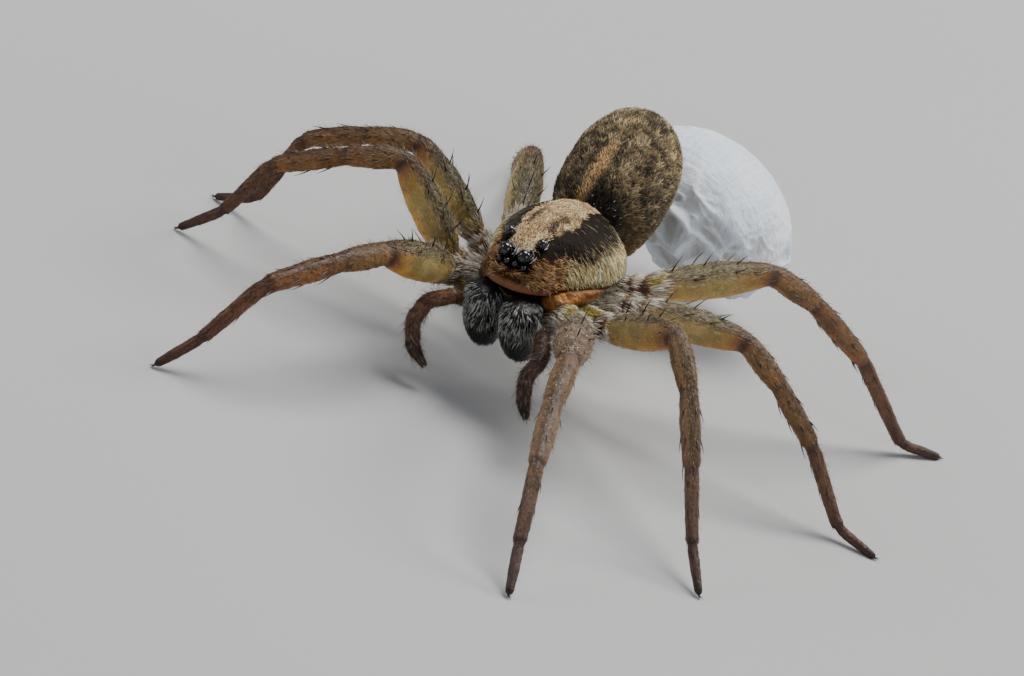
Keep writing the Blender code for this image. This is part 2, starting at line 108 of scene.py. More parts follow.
# A leg's stage counts its joints: 1 is the hip, 2 the knee, 3 the knee's far end, 4 and 5 the
# ankles, 6 the tip. Each row is (stage, radius of the skin).
LEG_RADII = (
    (0.00, .40), (0.45, .46), (0.66, .43), (0.73, .35), (0.82, .42), (0.92, .40), (0.985, .31),
    (1.04, .37), (1.13, .46), (1.35, .565), (1.60, .57), (1.82, .47), (1.94, .38), (2.00, .335),
    (2.10, .345), (2.45, .375), (2.80, .345), (2.93, .315), (3.00, .285), (3.08, .30), (3.40, .335),
    (3.75, .30), (3.94, .275), (4.00, .215), (4.08, .235), (4.45, .225), (4.85, .205), (4.95, .205),
    (5.00, .150), (5.08, .165), (5.50, .160), (5.85, .130), (5.96, .085), (6.00, .04))
PALP_RADII = (0.17, 0.235, 0.25, 0.24, 0.215, 0.10)  # at its joints

# How many hairs each coat has. One hair has 10 triangles, or 16 with a second bend.
HAIRS = {"band": 8000, "eyes": 120, "fringe": 4200, "flanks": 600, "cheeks": 2800, "beard": 2600,
         "jaw": 1500, "jaw_silver": 1200, "abdomen_upper": 18000, "abdomen_lower": 10500, "glints": 40,
         "leg": 6300, "leg_long": 700, "hip": 1900, "palp": 3000, "palp_long": 500}
SILK_STRANDS = 60


def colour(red, green, blue):
    """A colour as a screen shows it, 0 to 255, turned into the amounts of light a shader mixes."""
    share = np.array([red, green, blue]) / 255.0
    return np.where(share <= 0.04045, share / 12.92, ((share + 0.055) / 1.055) ** 2.4)


FAWN = colour(194, 158, 118)
FAWN_PALE = colour(228, 202, 156)
BAR = colour(82, 62, 50)
FLANK = colour(25, 19, 12)
STRAW = colour(240, 218, 166)
CHEEK = colour(96, 58, 28)
CHEEK_HAIR = colour(190, 148, 100)
LIP = colour(130, 88, 62)
FACE_BLACK = colour(9, 8, 8)
# White of the hairs round the eyes, and of the painted highlights on the abdomen's black front.
WHITE_HAIR_AND_GLINT = colour(232, 234, 238)
RIM = colour(50, 30, 18)
MEMBRANE = colour(158, 102, 38)
# The first is painted shade for the right membrane lobe, folded away under the rim.
MEMBRANE_RIGHT_SHADE, MEMBRANE_REAR = colour(64, 38, 26), colour(70, 46, 34)
# The second and third are painted shade: under the head, and just under the carapace's rim.
STERNUM, SHADE_UNDER_HEAD, SHADE_UNDER_RIM = colour(70, 50, 34), colour(36, 22, 18), colour(40, 28, 20)
JAW = colour(12, 9, 8)
JAW_END = colour(46, 22, 14)
JAW_HAIR = colour(176, 174, 168)
ABDOMEN = colour(98, 84, 60)
ABDOMEN_DARK = colour(46, 39, 26)
ABDOMEN_SPECK = colour(150, 132, 100)
STRIPE = colour(154, 124, 84)
BELLY = colour(106, 84, 54)
WAIST, SPINNERET = colour(52, 34, 24), colour(84, 64, 42)
PALE_HAIR = colour(222, 212, 194)
YELLOW_HAIR = colour(196, 178, 92)
GREY_HAIR = colour(150, 140, 120)
DUST = colour(116, 90, 72)
PALP_RED, PALP_BROWN, PALP_DARK = colour(120, 72, 48), colour(66, 42, 30), colour(58, 36, 26)
PALP_TIP, PALP_LONG_HAIR = colour(40, 28, 24), colour(120, 104, 90)
PALP_HAIR, PALP_HAIR_DARK = colour(150, 122, 100), colour(60, 42, 32)
EYE, FANG = colour(6, 5, 5), colour(52, 22, 14)
SPINE = colour(14, 10, 8)
SILK = colour(238, 246, 255)
# Grey of the painted shade in the egg sac's hollows.
SILK_PAINTED_SHADE = colour(178, 178, 174)


# --- Small mathematics ----------------------------------------------------------


def turned(axis, degrees):
    """The 3 x 3 turn about x, y or z."""
    c, s = math.cos(math.radians(degrees)), math.sin(math.radians(degrees))
    return np.array({"x": ((1, 0, 0), (0, c, -s), (0, s, c)),
                     "y": ((c, 0, s), (0, 1, 0), (-s, 0, c)),
                     "z": ((c, -s, 0), (s, c, 0), (0, 0, 1))}[axis], float)


BODY_TURN = turned("x", BODY_PITCH) @ turned("y", BODY_ROLL)
ABDOMEN_TURN = turned("z", ABDOMEN_YAW) @ turned("x", ABDOMEN_PITCH)
SAC_TURN = turned("x", SAC_PITCH) @ turned("y", SAC_ROLL)
LOW, HIGH = (np.array(corner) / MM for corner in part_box("egg_sac"))
SHIFT = (LOW + HIGH) / 2.0 - np.array(SAC_MIDDLE)  # from the body's origin to the model's
SHIFT[2] = 0.0


def body(points):
    """From the body's own axes to the model's, in millimetres."""
    return np.asarray(points, float) @ BODY_TURN.T + (0.0, 0.0, BODY_HEIGHT) + SHIFT


def in_body(points):
    """From the model's axes back to the body's own."""
    return (points - SHIFT - (0.0, 0.0, BODY_HEIGHT)) @ BODY_TURN


def abdomen(points):
    """From the abdomen's own axes to the model's."""
    return body(points @ ABDOMEN_TURN.T + ABDOMEN_MIDDLE)


def ramp(start, end, value):
    """0 at the start and 1 at the end, with a smooth rise between them."""
    share = np.clip((value - start) / (end - start), 0.0, 1.0)
    return share * share * (3.0 - 2.0 * share)


def bell(value, width):
    """1 where the value is 0, and next to nothing beyond twice the width."""
    return np.exp(-((value / width) ** 2))


def rounded(reach, power, root=0.5):
    """The outline of a blunt end: 1 in the middle and 0 where the reach is 1."""
    return (1.0 - reach**power) ** root


def station_at(along):
    """-1 to 1 from pole to pole, with close rows at the poles."""
    return -np.cos(math.pi * along)


def xyz(x, y, z):
    return np.stack(np.broadcast_arrays(x, y, z), -1)


def between(value, knots, rows):
    """Points or colours of a table, read between its rows."""
    return xyz(*(np.interp(value, knots, column) for column in np.transpose(rows)))


def unit(vectors):
    return vectors / np.maximum(np.linalg.norm(vectors, axis=-1, keepdims=True), 1e-9)


def mix(first, second, share):
    """Blends colours by a share for each point."""
    share = np.clip(np.asarray(share, float), 0.0, 1.0)[..., None]
    return first * (1.0 - share) + second * share


def layers(tone, *coats):
    """A tone with (other tone, share) laid over it in turn."""
    for over, share in coats:
        tone = mix(tone, over, share)
    return tone


def stained(tone, *stains):
    """A tone changed in turn by (factor, share)."""
    for factor, share in stains:
        tone = mix(tone, tone * factor, share)
    return tone


def noise(points, size, seed=0):
    """Smooth random values, -1 to 1, with hills about `size` apart."""
    place = points / size + 31.7 * seed
    cell = np.floor(place)
    part = place - cell
    part = part * part * (3.0 - 2.0 * part)
    total = 0.0
    for corner in np.ndindex(2, 2, 2):
        x, y, z = np.moveaxis(cell + corner, -1, 0)
        value = np.modf(np.abs(np.sin(x * 12.9898 + y * 78.233 + z * 37.719) * 43758.5453))[0]
        for k in range(3):
            value = value * (part[..., k] if corner[k] else 1.0 - part[..., k])
        total = total + value
    return 2.0 * total - 1.0


# --- Meshes ---------------------------------------------------------------------


def triangle_mesh(name, points, triangles, tints=None, uvs=None):
    """A smooth mesh from points in millimetres. tints are for each point, uvs for each corner."""
    corners = points[triangles]
    if np.einsum("ij,ij->i", corners[:, 0], np.cross(corners[:, 1], corners[:, 2])).sum() < 0:
        triangles = triangles[:, ::-1]
        uvs = None if uvs is None else uvs.reshape(-1, 3, 2)[:, ::-1]
    mesh = bpy.data.meshes.new(name)
    mesh.vertices.add(len(points))
    mesh.vertices.foreach_set("co", (points * MM).astype(np.float32).ravel())
    mesh.loops.add(triangles.size)
    mesh.loops.foreach_set("vertex_index", triangles.astype(np.int32).ravel())
    mesh.polygons.add(len(triangles))
    mesh.polygons.foreach_set("loop_start", np.arange(0, triangles.size, 3, dtype=np.int32))
    mesh.polygons.foreach_set("use_smooth", np.ones(len(triangles), bool))
    mesh.update(calc_edges=True)
    if uvs is not None:
        mesh.uv_layers.new(name="OFBake").data.foreach_set("uv", uvs.astype(np.float32).ravel())
    if tints is not None:
        rgba = np.concatenate([tints, np.ones((len(tints), 1))], axis=1)
        layer = mesh.attributes.new("tint", "FLOAT_COLOR", "POINT")
        layer.data.foreach_set("color", rgba.astype(np.float32).ravel())
    return mesh


def linked(name, data):
    """A new object in the scene."""
    obj = bpy.data.objects.new(name, data)
    bpy.context.scene.collection.objects.link(obj)
    return obj


def add_piece(mesh, material, replaces=()):
    obj = linked(mesh.name, mesh)
    mesh.materials.append(material)
    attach(obj, "root")
    if replaces:
        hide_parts(*replaces)


def add_joined(name, shapes, material, replaces=(), tone=None):
    """One piece from several (points, triangles), no lower than the floor."""
    sizes = np.cumsum([0] + [len(points) for points, _ in shapes])
    points = np.concatenate([points for points, _ in shapes])
    points[:, 2] = np.maximum(points[:, 2], FLOOR_GAP)
    triangles = np.concatenate([faces + size for (_, faces), size in zip(shapes, sizes)])
    tints = None if tone is None else np.broadcast_to(tone, points.shape)
    add_piece(triangle_mesh(name, points, triangles, tints), material, replaces)


def ring_faces(rings, sides):
    """Triangles between rings of points, closed by a pole at each end, whose points come last."""
    index = np.arange(rings * sides).reshape(rings, sides)
    a, b = index[:-1], index[1:]
    c, d = np.roll(a, -1, 1), np.roll(b, -1, 1)
    first, last = np.full(sides, index.size), np.full(sides, index.size + 1)
    groups = (a, c, d), (a, d, b), (first, c[0], a[0]), (last, b[-1], d[-1])
    return np.concatenate([np.stack(group, -1).reshape(-1, 3) for group in groups])


def tube(path, radii, sides):
    """Points and triangles of a closed tapering tube with pointed ends."""
    course = unit(np.gradient(path, axis=0))
    guide = (0.0, 0.0, 1.0) if abs(course[:, 2]).mean() < 0.8 else (1.0, 0.0, 0.0)
    side = unit(np.cross(course, guide))
    above = np.cross(side, course)
    angle = np.arange(sides)[:, None] * TURN / sides
    ring = side[:, None] * np.cos(angle) + above[:, None] * np.sin(angle)
    points = path[:, None] + ring * radii[:, None, None]
    return np.concatenate([points.reshape(-1, 3), path[:1], path[-1:]]), ring_faces(len(path), sides)


def grid(rows, columns):
    """(along, around) of a skin's rows and columns."""
    around = np.arange(columns) * (TURN / columns)
    return np.meshgrid(np.linspace(0.0, 1.0, rows), around, indexing="ij")


def closed(values):
    """A grid's values with each end row drawn together into a pole, in ring_faces' order."""
    return np.concatenate([values[1:-1].reshape(-1, 3), values[:1].mean(1), values[-1:].mean(1)])


class Spots:
    """Places on a skin: points in the model's axes, and q, x, y, z in the body's own.

    up is 1 on the skin's top line and -1 on its bottom line, and stage counts a limb's joints.
    The functions for markings, hair density and lie take one Spots, called s. In the body's axes
    x is to the left, y to the back and z up, in millimetres, so a ramp along s.y says between
    which two places a marking fades in or out.
    """

    def __init__(self, surface, along, around, points=None):
        self.along, self.around, self.up = along, around, np.sin(around)
        self.points = surface.place(along, around) if points is None else points
        self.q = in_body(self.points)
        self.x, self.y, self.z = np.moveaxis(self.q, -1, 0)
        self.stage = surface.stage_at(along) if surface.stage_at else None


class Surface:
    """A closed skin: place(along, around) gives points in the model's axes, in millimetres.

    along runs from 0 to 1 between two poles, and around is an angle about them. A limb's skin also
    has stage_at(along).
    """

    def __init__(self, place, rows, columns, stage_at=None):
        self.place, self.rows, self.columns, self.stage_at = place, rows, columns, stage_at

    def add(self, name, paint, material, slot, replaces=()):
        """Makes the piece. paint(spots) gives its tints."""
        spots = Spots(self, *grid(self.rows, self.columns))
        faces = ring_faces(self.rows - 2, self.columns)
        mesh = triangle_mesh(name, closed(spots.points), faces, closed(paint(spots)))
        add_piece(mesh, material, replaces)

    def scatter(self, count, density, seed):
        """Random places on the skin, as thick as density(spots) says."""
        rows, columns = 160, 96
        along, around = grid(rows, columns)
        points = self.place(along, around)
        across = np.roll(points, -1, 1)
        area = np.cross(across[1:] - points[:-1], points[1:] - across[:-1])
        area = np.linalg.norm(area, axis=2) / 2.0
        middle = Spots(self, (along[:-1] + along[1:]) / 2.0, around[:-1] + math.pi / columns,
                       (points[:-1] + points[1:] + across[:-1] + across[1:]) / 4.0)
        total = np.cumsum(area * np.clip(density(middle), 0.0, None))
        rng = np.random.default_rng(seed)
        cell = np.searchsorted(total, rng.random(count) * total[-1])
        row, column = np.divmod(np.minimum(cell, total.size - 1), columns)
        along = (row + rng.random(count)) / (rows - 1)
        around = (column + rng.random(count)) * TURN / columns
        return np.clip(along, 0.004, 0.996), around

    def stand(self, along, around):
        """Spots that also know the outward normal and the way ahead, to the last pole."""
        small = 0.002
        spots = Spots(self, along, around)
        spots.ahead = unit(self.place(np.minimum(along + small, 1.0), around) -
                           self.place(np.maximum(along - small, 0.0), around))
        beside = unit(self.place(along, around + small) - self.place(along, around - small))
        normal = unit(np.cross(beside, spots.ahead))
        inward = self.place(along, around + math.pi) - spots.points
        outward = np.where((normal * inward).sum(-1, keepdims=True) > 0.0, -1.0, 1.0)
        spots.normal = normal * outward
        return spots


def given(value, spots):
    """A plain value, or what a function gives for the spots."""
    return value(spots) if callable(value) else value


class Coat:
    """Hairs gathered for one piece. Each is a closed three-sided spike with a bend or two."""

    ROOT_DEPTH, FLATNESS, TAPER = 0.02, 0.6, 0.35
    LENGTHS, WIDTHS, SLOPES = 0.35, 0.25, 0.5  # how much hairs differ, as a share of each
    UV_SIZE, UV_MARGIN = 0.0015, 0.003

    def __init__(self):
        self.points, self.triangles, self.uvs, self.tints, self.size = [], [], [], [], 0

    def grow(self, surface, count, density, lie, length, width, tint, seed, lift=18.0, bend=22.0,
             spread=16.0, rings=2, tip=1.15, shades=(0.7, 1.3), swirl=(0.0, 1.0)):
        """density(spots) and lie(spots) say how thick and which way the hair grows.

        length and tint are plain or functions of the spots. lift and bend are the rise of the root
        and the fall of the tip in degrees; spread is the scatter of directions, tip how pale the
        tip is, shades the darkest and palest hair, and swirl the angle and size of waves in the lie.
        """
        rng = np.random.default_rng(seed + 7)
        spots = surface.stand(*surface.scatter(count, density, seed))
        normal, flow = spots.normal, lie(spots)
        flow = unit(flow - normal * (flow * normal).sum(-1, keepdims=True))
        side = np.cross(normal, flow)
        turn = rng.normal(0.0, spread, count) + swirl[0] * noise(spots.points, swirl[1], seed % 17)
        c, s = np.cos(np.radians(turn))[:, None], np.sin(np.radians(turn))[:, None]
        flow, side = flow * c + side * s, side * c - flow * s

        def varied(value, share):
            return value * (1.0 + share * rng.uniform(-1.0, 1.0, count))

        step = varied(given(length, spots), self.LENGTHS) / rings
        thick = varied(width, self.WIDTHS) / 2.0
        rise, fall = np.radians(varied(lift, self.SLOPES)), np.radians(varied(bend, self.SLOPES))
        ink = given(tint, spots) * rng.uniform(*shades, count)[:, None]
        spot = np.stack([np.mod(spots.around, TURN) / TURN, spots.along], -1)
        spot = spot * (1.0 - 2.0 * self.UV_MARGIN) + self.UV_MARGIN
        here = spots.points - normal * self.ROOT_DEPTH
        cloud, patch, inks = [], [], []
        for ring in range(rings):
            slope = (rise - fall * ring / (rings - 1))[:, None]
            course = flow * np.cos(slope) + normal * np.sin(slope)
            above = np.cross(course, side) * self.FLATNESS
            share = ring / rings
            for corner in range(3):
                angle = TURN * corner / 3.0 + math.pi / 2.0
                offset = side * math.cos(angle) + above * math.sin(angle)
                cloud.append(here + offset * (thick * (1.0 - self.TAPER * share))[:, None])
                patch.append(spot + self.UV_SIZE * np.array([math.cos(angle), 2.0 * share - 1.0]))
                inks.append(ink * (1.0 + (tip - 1.0) * share))
            here = here + course * step[:, None]
        cloud.append(here)
        patch.append(spot + self.UV_SIZE * np.array([0.0, 1.0]))
        inks.append(ink * tip)
        faces = [(0, 2, 1)]
        for ring in range(rings - 1):
            for corner in range(3):
                a, b = 3 * ring + corner, 3 * ring + (corner + 1) % 3
                faces += [(a, b, b + 3), (a, b + 3, a + 3)]
        last = 3 * (rings - 1)
        faces += [(last + k, last + (k + 1) % 3, last + 3) for k in range(3)]
        cloud = np.stack(cloud, 1)
        cloud[..., 2] = np.maximum(cloud[..., 2], FLOOR_GAP)
        first = self.size + np.arange(count) * cloud.shape[1]
        self.points.append(cloud.reshape(-1, 3))
        self.tints.append(np.stack(inks, 1).reshape(-1, 3))
        self.triangles.append((first[:, None, None] + np.array(faces)).reshape(-1, 3))
        self.uvs.append(np.stack(patch, 1)[:, np.array(faces).ravel()].reshape(-1, 2))
        self.size += count * cloud.shape[1]

    def add(self, name, material, slot):
        tints = np.clip(np.concatenate(self.tints), 0.0, 1.0)
        add_piece(triangle_mesh(name, np.concatenate(self.points), np.concatenate(self.triangles),
                                tints, np.concatenate(self.uvs)), material)


# --- Materials ------------------------------------------------------------------


class Shader:
    """A Principled material under construction, with the few nodes that this scene needs."""

    def __init__(self, name, **settings):
        self.material = bpy.data.materials.new(name)
        self.material.use_nodes = True
        self.tree = self.material.node_tree
        self.bsdf = self.tree.nodes["Principled BSDF"]
        for socket, value in settings.items():
            self.bsdf.inputs[socket.replace("_", " ")].default_value = value
        self.where = self.tree.nodes.new("ShaderNodeTexCoord").outputs["Object"]

    def node(self, kind, inputs=(), **settings):
        made = self.tree.nodes.new("ShaderNode" + kind)
        for name, value in settings.items():
            setattr(made, name, value)
        for socket, value in dict(inputs).items():
            if isinstance(value, bpy.types.NodeSocket):
                self.tree.links.new(value, made.inputs[socket])
            else:
                made.inputs[socket].default_value = value
        return made

    def link(self, value, socket):
        self.tree.links.new(value, self.bsdf.inputs[socket])

    def scaled(self, size, stretch=(1.0, 1.0, 1.0)):
        """The place on the object, so scaled that `size` millimetres is one."""
        scale = tuple(s / (size * MM) for s in stretch)
        return self.node("Mapping", {"Vector": self.where, "Scale": scale}).outputs["Vector"]

    def noise(self, size, detail=3.0, stretch=(1.0, 1.0, 1.0)):
        """Noise with hills `size` millimetres apart, 0 to 1."""
        return self.node("TexNoise", {"Vector": self.scaled(size, stretch), "Scale": 1.0,
                                      "Detail": detail, "Roughness": 0.55}).outputs["Fac"]

    def span(self, value, low, high, start=0.3, end=0.7):
        return self.node("MapRange", {"Value": value, "From Min": start, "From Max": end,
                                      "To Min": low, "To Max": high}).outputs["Result"]

    def math(self, operation, first, second):
        return self.node("Math", {0: first, 1: second}, operation=operation).outputs[0]

    def tint(self):
        return self.node("Attribute", attribute_name="tint").outputs["Color"]

    def flat(self, tone):
        made = self.node("RGB").outputs[0]
        made.default_value = (*tone, 1.0)
        return made

    def paint(self, tone, value):
        """The base colour: a tone times a brightness."""
        made = self.node("VectorMath", {0: tone, 1: value}, operation="MULTIPLY")
        self.link(made.outputs[0], "Base Color")

    def bump(self, height, depth):
        """Bumps that rise by `depth` millimetres."""
        made = self.node("Bump", {"Height": height, "Strength": 1.0, "Distance": depth * MM})
        self.link(made.outputs["Normal"], "Normal")


def cuticle(name, roughness, mottle=0.25, grain=0.10, depth=0.015, **settings):
    """Tinted cuticle: mottled, finely grained, with small pits where hairs stand."""
    shader = Shader(name, **settings)
    broad = shader.span(shader.noise(0.55, 4.0), 1.0 - mottle, 1.0 + mottle)
    fine = shader.span(shader.noise(grain), 0.82, 1.18, 0.25, 0.75)
    shader.paint(shader.tint(), shader.math("MULTIPLY", broad, fine))
    shader.link(shader.span(shader.noise(0.22), roughness - 0.10, roughness + 0.12), "Roughness")
    pits = shader.node("TexVoronoi", {"Vector": shader.scaled(0.16), "Scale": 1.0})
    pits = shader.span(pits.outputs["Distance"], -0.6, 0.4, 0.0, 0.5)
    shader.bump(shader.math("ADD", shader.noise(grain * 0.7), pits), depth)
    return shader.material


def hair(name, roughness, specular):
    """Hairs take their tint from the skin's markings, with a fine change along and between them."""
    shader = Shader(name, Specular_IOR_Level=specular)
    shader.paint(shader.tint(), shader.span(shader.noise(0.12, 2.0), 0.80, 1.22))
    shader.link(shader.span(shader.noise(0.30, 2.0), roughness - 0.08, roughness + 0.08), "Roughness")
    return shader.material


def polished(name, tone, roughness, **settings):
    """Dark hard parts: eyes, fangs, claws and spines."""
    speck = 0.12
    shader = Shader(name, **settings)
    shader.paint(shader.flat(tone), shader.span(shader.noise(speck), 0.7, 1.35))
    shader.link(shader.span(shader.noise(speck, 2.0), roughness * 0.8, roughness * 1.3), "Roughness")
    return shader.material


def silk():
    """Layered silk: faint fibres running many ways, with a papery shine."""
    shader = Shader("silk", Subsurface_Weight=0.25, Subsurface_Scale=0.0006, Sheen_Weight=0.25,
                    Sheen_Roughness=0.4, Subsurface_Radius=(1.0, 1.0, 1.0))
    strands = shader.math("ADD", shader.noise(0.16, 4.0, (1.0, 0.12, 0.5)),
                          shader.noise(0.16, 4.0, (0.12, 1.0, 0.6)))
    strands = shader.math("ADD", strands, shader.noise(0.13, 4.0, (0.7, 0.8, 0.1)))
    cloud = shader.math("MULTIPLY", shader.span(strands, 0.90, 1.06, 1.2, 1.8),
                        shader.span(shader.noise(1.6), 0.93, 1.04))
    shader.paint(shader.tint(), cloud)
    shader.link(shader.span(strands, 0.5, 0.75, 1.2, 1.8), "Roughness")
    shader.bump(shader.math("ADD", strands, shader.noise(0.7, 5.0)), 0.05)
    return shader.material


SKIN_SHELL = cuticle("carapace_cuticle", 0.44, grain=0.07, Specular_IOR_Level=0.04)
SKIN_SOFT = cuticle("membrane_cuticle", 0.36, mottle=0.30, grain=0.16, depth=0.03,
                    Specular_IOR_Level=0.30, Subsurface_Weight=0.2, Subsurface_Scale=0.0004)
SKIN_LEG = cuticle("leg_cuticle", 0.50, mottle=0.22, Specular_IOR_Level=0.4,
                   Subsurface_Weight=0.15, Subsurface_Scale=0.0004)
SKIN_JAW = cuticle("jaw_cuticle", 0.36, mottle=0.2, Specular_IOR_Level=0.3)
SKIN_ABDOMEN = cuticle("abdomen_skin", 0.80, mottle=0.35, grain=0.16, depth=0.03,
                       Specular_IOR_Level=0.2)
HAIR_SOFT = hair("soft_hair", 0.60, 0.25)
HAIR_SHINY = hair("shiny_hair", 0.42, 0.45)
EYE_SHINE = polished("eye_lens", EYE, 0.05, Specular_IOR_Level=0.35, Coat_Weight=0.8,
                     Coat_Roughness=0.02)
HARD_DARK = polished("dark_horn", SPINE, 0.30, Coat_Weight=0.3, Coat_Roughness=0.2)
FANG_SHINE = polished("fang_horn", FANG, 0.18, Coat_Weight=0.6, Coat_Roughness=0.08)
SILK_CLOTH = silk()


# --- Head and thorax ------------------------------------------------------------

EYE_MOUND, EYE_MOUND_REACH = 0.42, 1.45  # the height and reach of the skin's rise, in eye radii
FURROW_CENTRE = 1.15
FURROWS = ((24.0, 0.050), (52.0, 0.028), (82.0, 0.030), (112.0, 0.028))  # (degrees, depth)

EYES, EYE_NODES = [], []  # EYES has (place in the body's axes, radius)
for pair in EYE_PAIRS:
    for label in SIDES:
        low, high = (np.array(corner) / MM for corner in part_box(f"eye_{pair}_{label}"))
        EYES.append((in_body((low + high) / 2.0), (high - low).max() / 2.0))
        EYE_NODES.append(f"eye_{pair}_{label}")


def midline_pit(x, y, width):
    """1 in the short dark groove on the rear half of the carapace."""
    return bell(x, width) * ramp(0.75, 0.95, y) * ramp(1.65, 1.45, y)


def carapace_place(along, around):
    station, up = station_at(along), np.sin(around)
    reach, front, above = np.abs(station), station < 0.0, np.maximum(up, 0.0)
    y = CARAPACE_FRONT + CARAPACE_COAT + (station + 1.0) / 2.0 * (CARAPACE_LENGTH - 2.0 * CARAPACE_COAT)
    half = HEAD_HALF_WIDTH + (CARAPACE_HALF_WIDTH - HEAD_HALF_WIDTH) * ramp(-2.0, 0.5, y) - CARAPACE_COAT
    half = half * np.where(front, rounded(reach, *PLAN_FRONT), rounded(reach, *PLAN_REAR))
    tall = CARAPACE_HEIGHT - CARAPACE_COAT
    tall = tall * np.where(front, rounded(reach, *RISE_FRONT), rounded(reach, *RISE_REAR))
    rim = CARAPACE_EDGE + (CLYPEUS_EDGE - CARAPACE_EDGE) * ramp(-1.6, -2.8, y)
    turned_rim = 1.0 + 0.035 / CARAPACE_HALF_WIDTH * ramp(0.30, 0.0, np.abs(up))
    x = half * turned_rim * (1.0 - CARAPACE_RIDGE * above * ramp(-1.4, 0.8, y)) * np.cos(around)
    under = rim - CARAPACE_DEPTH * np.sqrt(np.maximum(-up, 0.0))
    z = np.where(up >= 0.0, rim + (tall - rim * reach) * above, under)
    points = xyz(x, y, z + np.where(front, 0.42, 0.05) * ramp(0.985, 1.0, reach))
    # A groove between head and thorax, spokes towards the legs, the midline pit, and the eyes' mounds.
    way = np.degrees(np.arctan2(np.abs(x), FURROW_CENTRE - y))
    far = np.hypot(x, y - FURROW_CENTRE)
    groove = sum(depth * bell((way - spoke) * far, 9.0) for spoke, depth in FURROWS)
    groove = groove * ramp(0.3, 0.9, far) * ramp(2.6, 1.6, far) + 0.07 * midline_pit(x, y, 0.045)
    lift = 0.012 * noise(points, 0.35, 3) * ramp(0.0, 0.3, up) - groove * ramp(0.1, 0.5, up)
    for middle, radius in EYES:
        away = np.linalg.norm(points - middle, axis=-1)
        lift = lift + EYE_MOUND * radius * bell(away, EYE_MOUND_REACH * radius)
    outward = unit(points - xyz(0.0, np.clip(y, -1.9, 1.8), -0.2))
    return body(points + outward * lift[..., None])


def band_share(s):
    """1 inside the pale band down the middle of the carapace, 0 outside it."""
    half = np.interp(s.y, (-2.6, -1.9, -1.2, -0.5, 0.1, 0.9, 1.8, 2.8),
                     (0.30, 0.50, 0.67, 0.76, 0.70, 0.55, 0.36, 0.28)) + 0.05 * noise(s.q, 0.16, 5)
    return (ramp(half + 0.05, half - 0.05, np.abs(s.x)) * ramp(-2.62, -2.35, s.y)
            * ramp(0.5, 0.9, s.z))


def bar_share(s):
    """The two dark bars inside the band, behind the eyes."""
    off = np.abs(np.abs(s.x) - 0.41) + 0.03 * noise(s.q, 0.12, 8)
    return ramp(0.17, 0.07, off) * ramp(-1.75, -1.4, s.y) * ramp(-0.2, -0.6, s.y)


def steepness(s):
    """The angle up the side of the carapace: 0 at the rim, 90 at the ridge."""
    return np.degrees(np.arctan2(s.z / CARAPACE_HEIGHT, np.abs(s.x) / CARAPACE_HALF_WIDTH))


def fringe_share(s):
    """The straw-coloured lower sides."""
    limit = 33.0 + 7.0 * noise(s.q, 0.22, 11) + 4.0 * noise(s.q, 0.7, 12)
    return ramp(limit + 4.0, limit - 6.0, steepness(s)) * ramp(-1.75, -1.25, s.y)


def cheek_share(s):
    """The brown face and cheeks in front of the fringe."""
    return (ramp(-0.85, -1.75, s.y + 0.22 * noise(s.q, 0.25, 14))
            * ramp(1.25, 0.95, s.z + 0.15 * noise(s.q, 0.25, 13)))


def eyes_near(s):
    """(distance, place, radius) for each eye."""
    return [(np.linalg.norm(s.q - middle, axis=-1), middle, radius) for middle, radius in EYES]


def eye_field(s):
    """1 close round the eyes."""
    share = np.max([ramp(radius + 0.20, radius + 0.10, away) for away, _, radius in eyes_near(s)], 0)
    block = ramp(0.66, 0.52, np.abs(s.x)) * ramp(-2.40, -2.55, s.y)
    return np.maximum(share, block * ramp(0.62, 0.70, s.z) * ramp(1.60, 1.35, s.z))


def eye_ring(s):
    """Where fine white hairs stand: in a ring round each rear eye and down between them."""
    share = 0.5 * ramp(0.14, 0.06, np.abs(s.x)) * (s.y < -2.2) * (s.z > 0.95)
    for away, middle, radius in eyes_near(s):
        if radius > 0.15:
            size = 1.0 if radius > 0.2 else 0.45
            share = share + size * bell(away - radius - 0.08, 0.05) * (s.z > middle[2] - 0.24)
    return share


def open_top(s):
    """The upper side, but for the lenses themselves."""
    return (s.up > 0.02) * np.all([away >= radius * 1.25 for away, _, radius in eyes_near(s)], 0)


def carapace_paint(s):
    band = band_share(s)
    lip = ramp(0.36, 0.22, s.z + 0.05 * noise(s.q, 0.2, 15)) * ramp(-1.9, -2.4, s.y)
    return layers(
        FLANK, (FLANK * 1.7, 0.5 + 0.5 * noise(s.q, 0.5, 2)), (STRAW * 0.14, 0.9 * fringe_share(s)),
        (CHEEK * (0.45, 0.38, 0.34), cheek_share(s)), (LIP, lip), (FAWN * 0.18, band),
        (BAR * 0.4, bar_share(s) * band), (FACE_BLACK, eye_field(s)),
        (RIM, ramp(0.16, 0.05, s.z) * ramp(-2.2, -1.2, s.y)),
        (RIM * 0.5, midline_pit(s.x, s.y, 0.05) * (s.z > 0.5)))


def toward(*way):
    """A lie that follows one direction of the body's axes."""
    return lambda s: np.broadcast_to(BODY_TURN @ way, s.points.shape)


def splayed(x, y, z):
    """A lie that follows one direction on the left, and its mirror image on the right."""
    return lambda s: xyz(np.sign(s.x) * x, y, z) @ BODY_TURN.T


def round_the_eyes(s):
    """A lie that streams back from the face and parts round each rear eye."""
    stream = np.array([0.0, 0.62, 0.78])
    local = stream
    for away, middle, radius in eyes_near(s):
        way = (s.q - middle) / away[..., None]
        share = 0.5 * (1.35 * radius / np.maximum(away, radius)) ** 3.0
        push = stream - 3.0 * (way * stream).sum(-1, keepdims=True) * way
        local = local + share[..., None] * push
    return local @ BODY_TURN.T


def ahead(s):
    """A lie that follows a limb to its tip."""
    return s.ahead


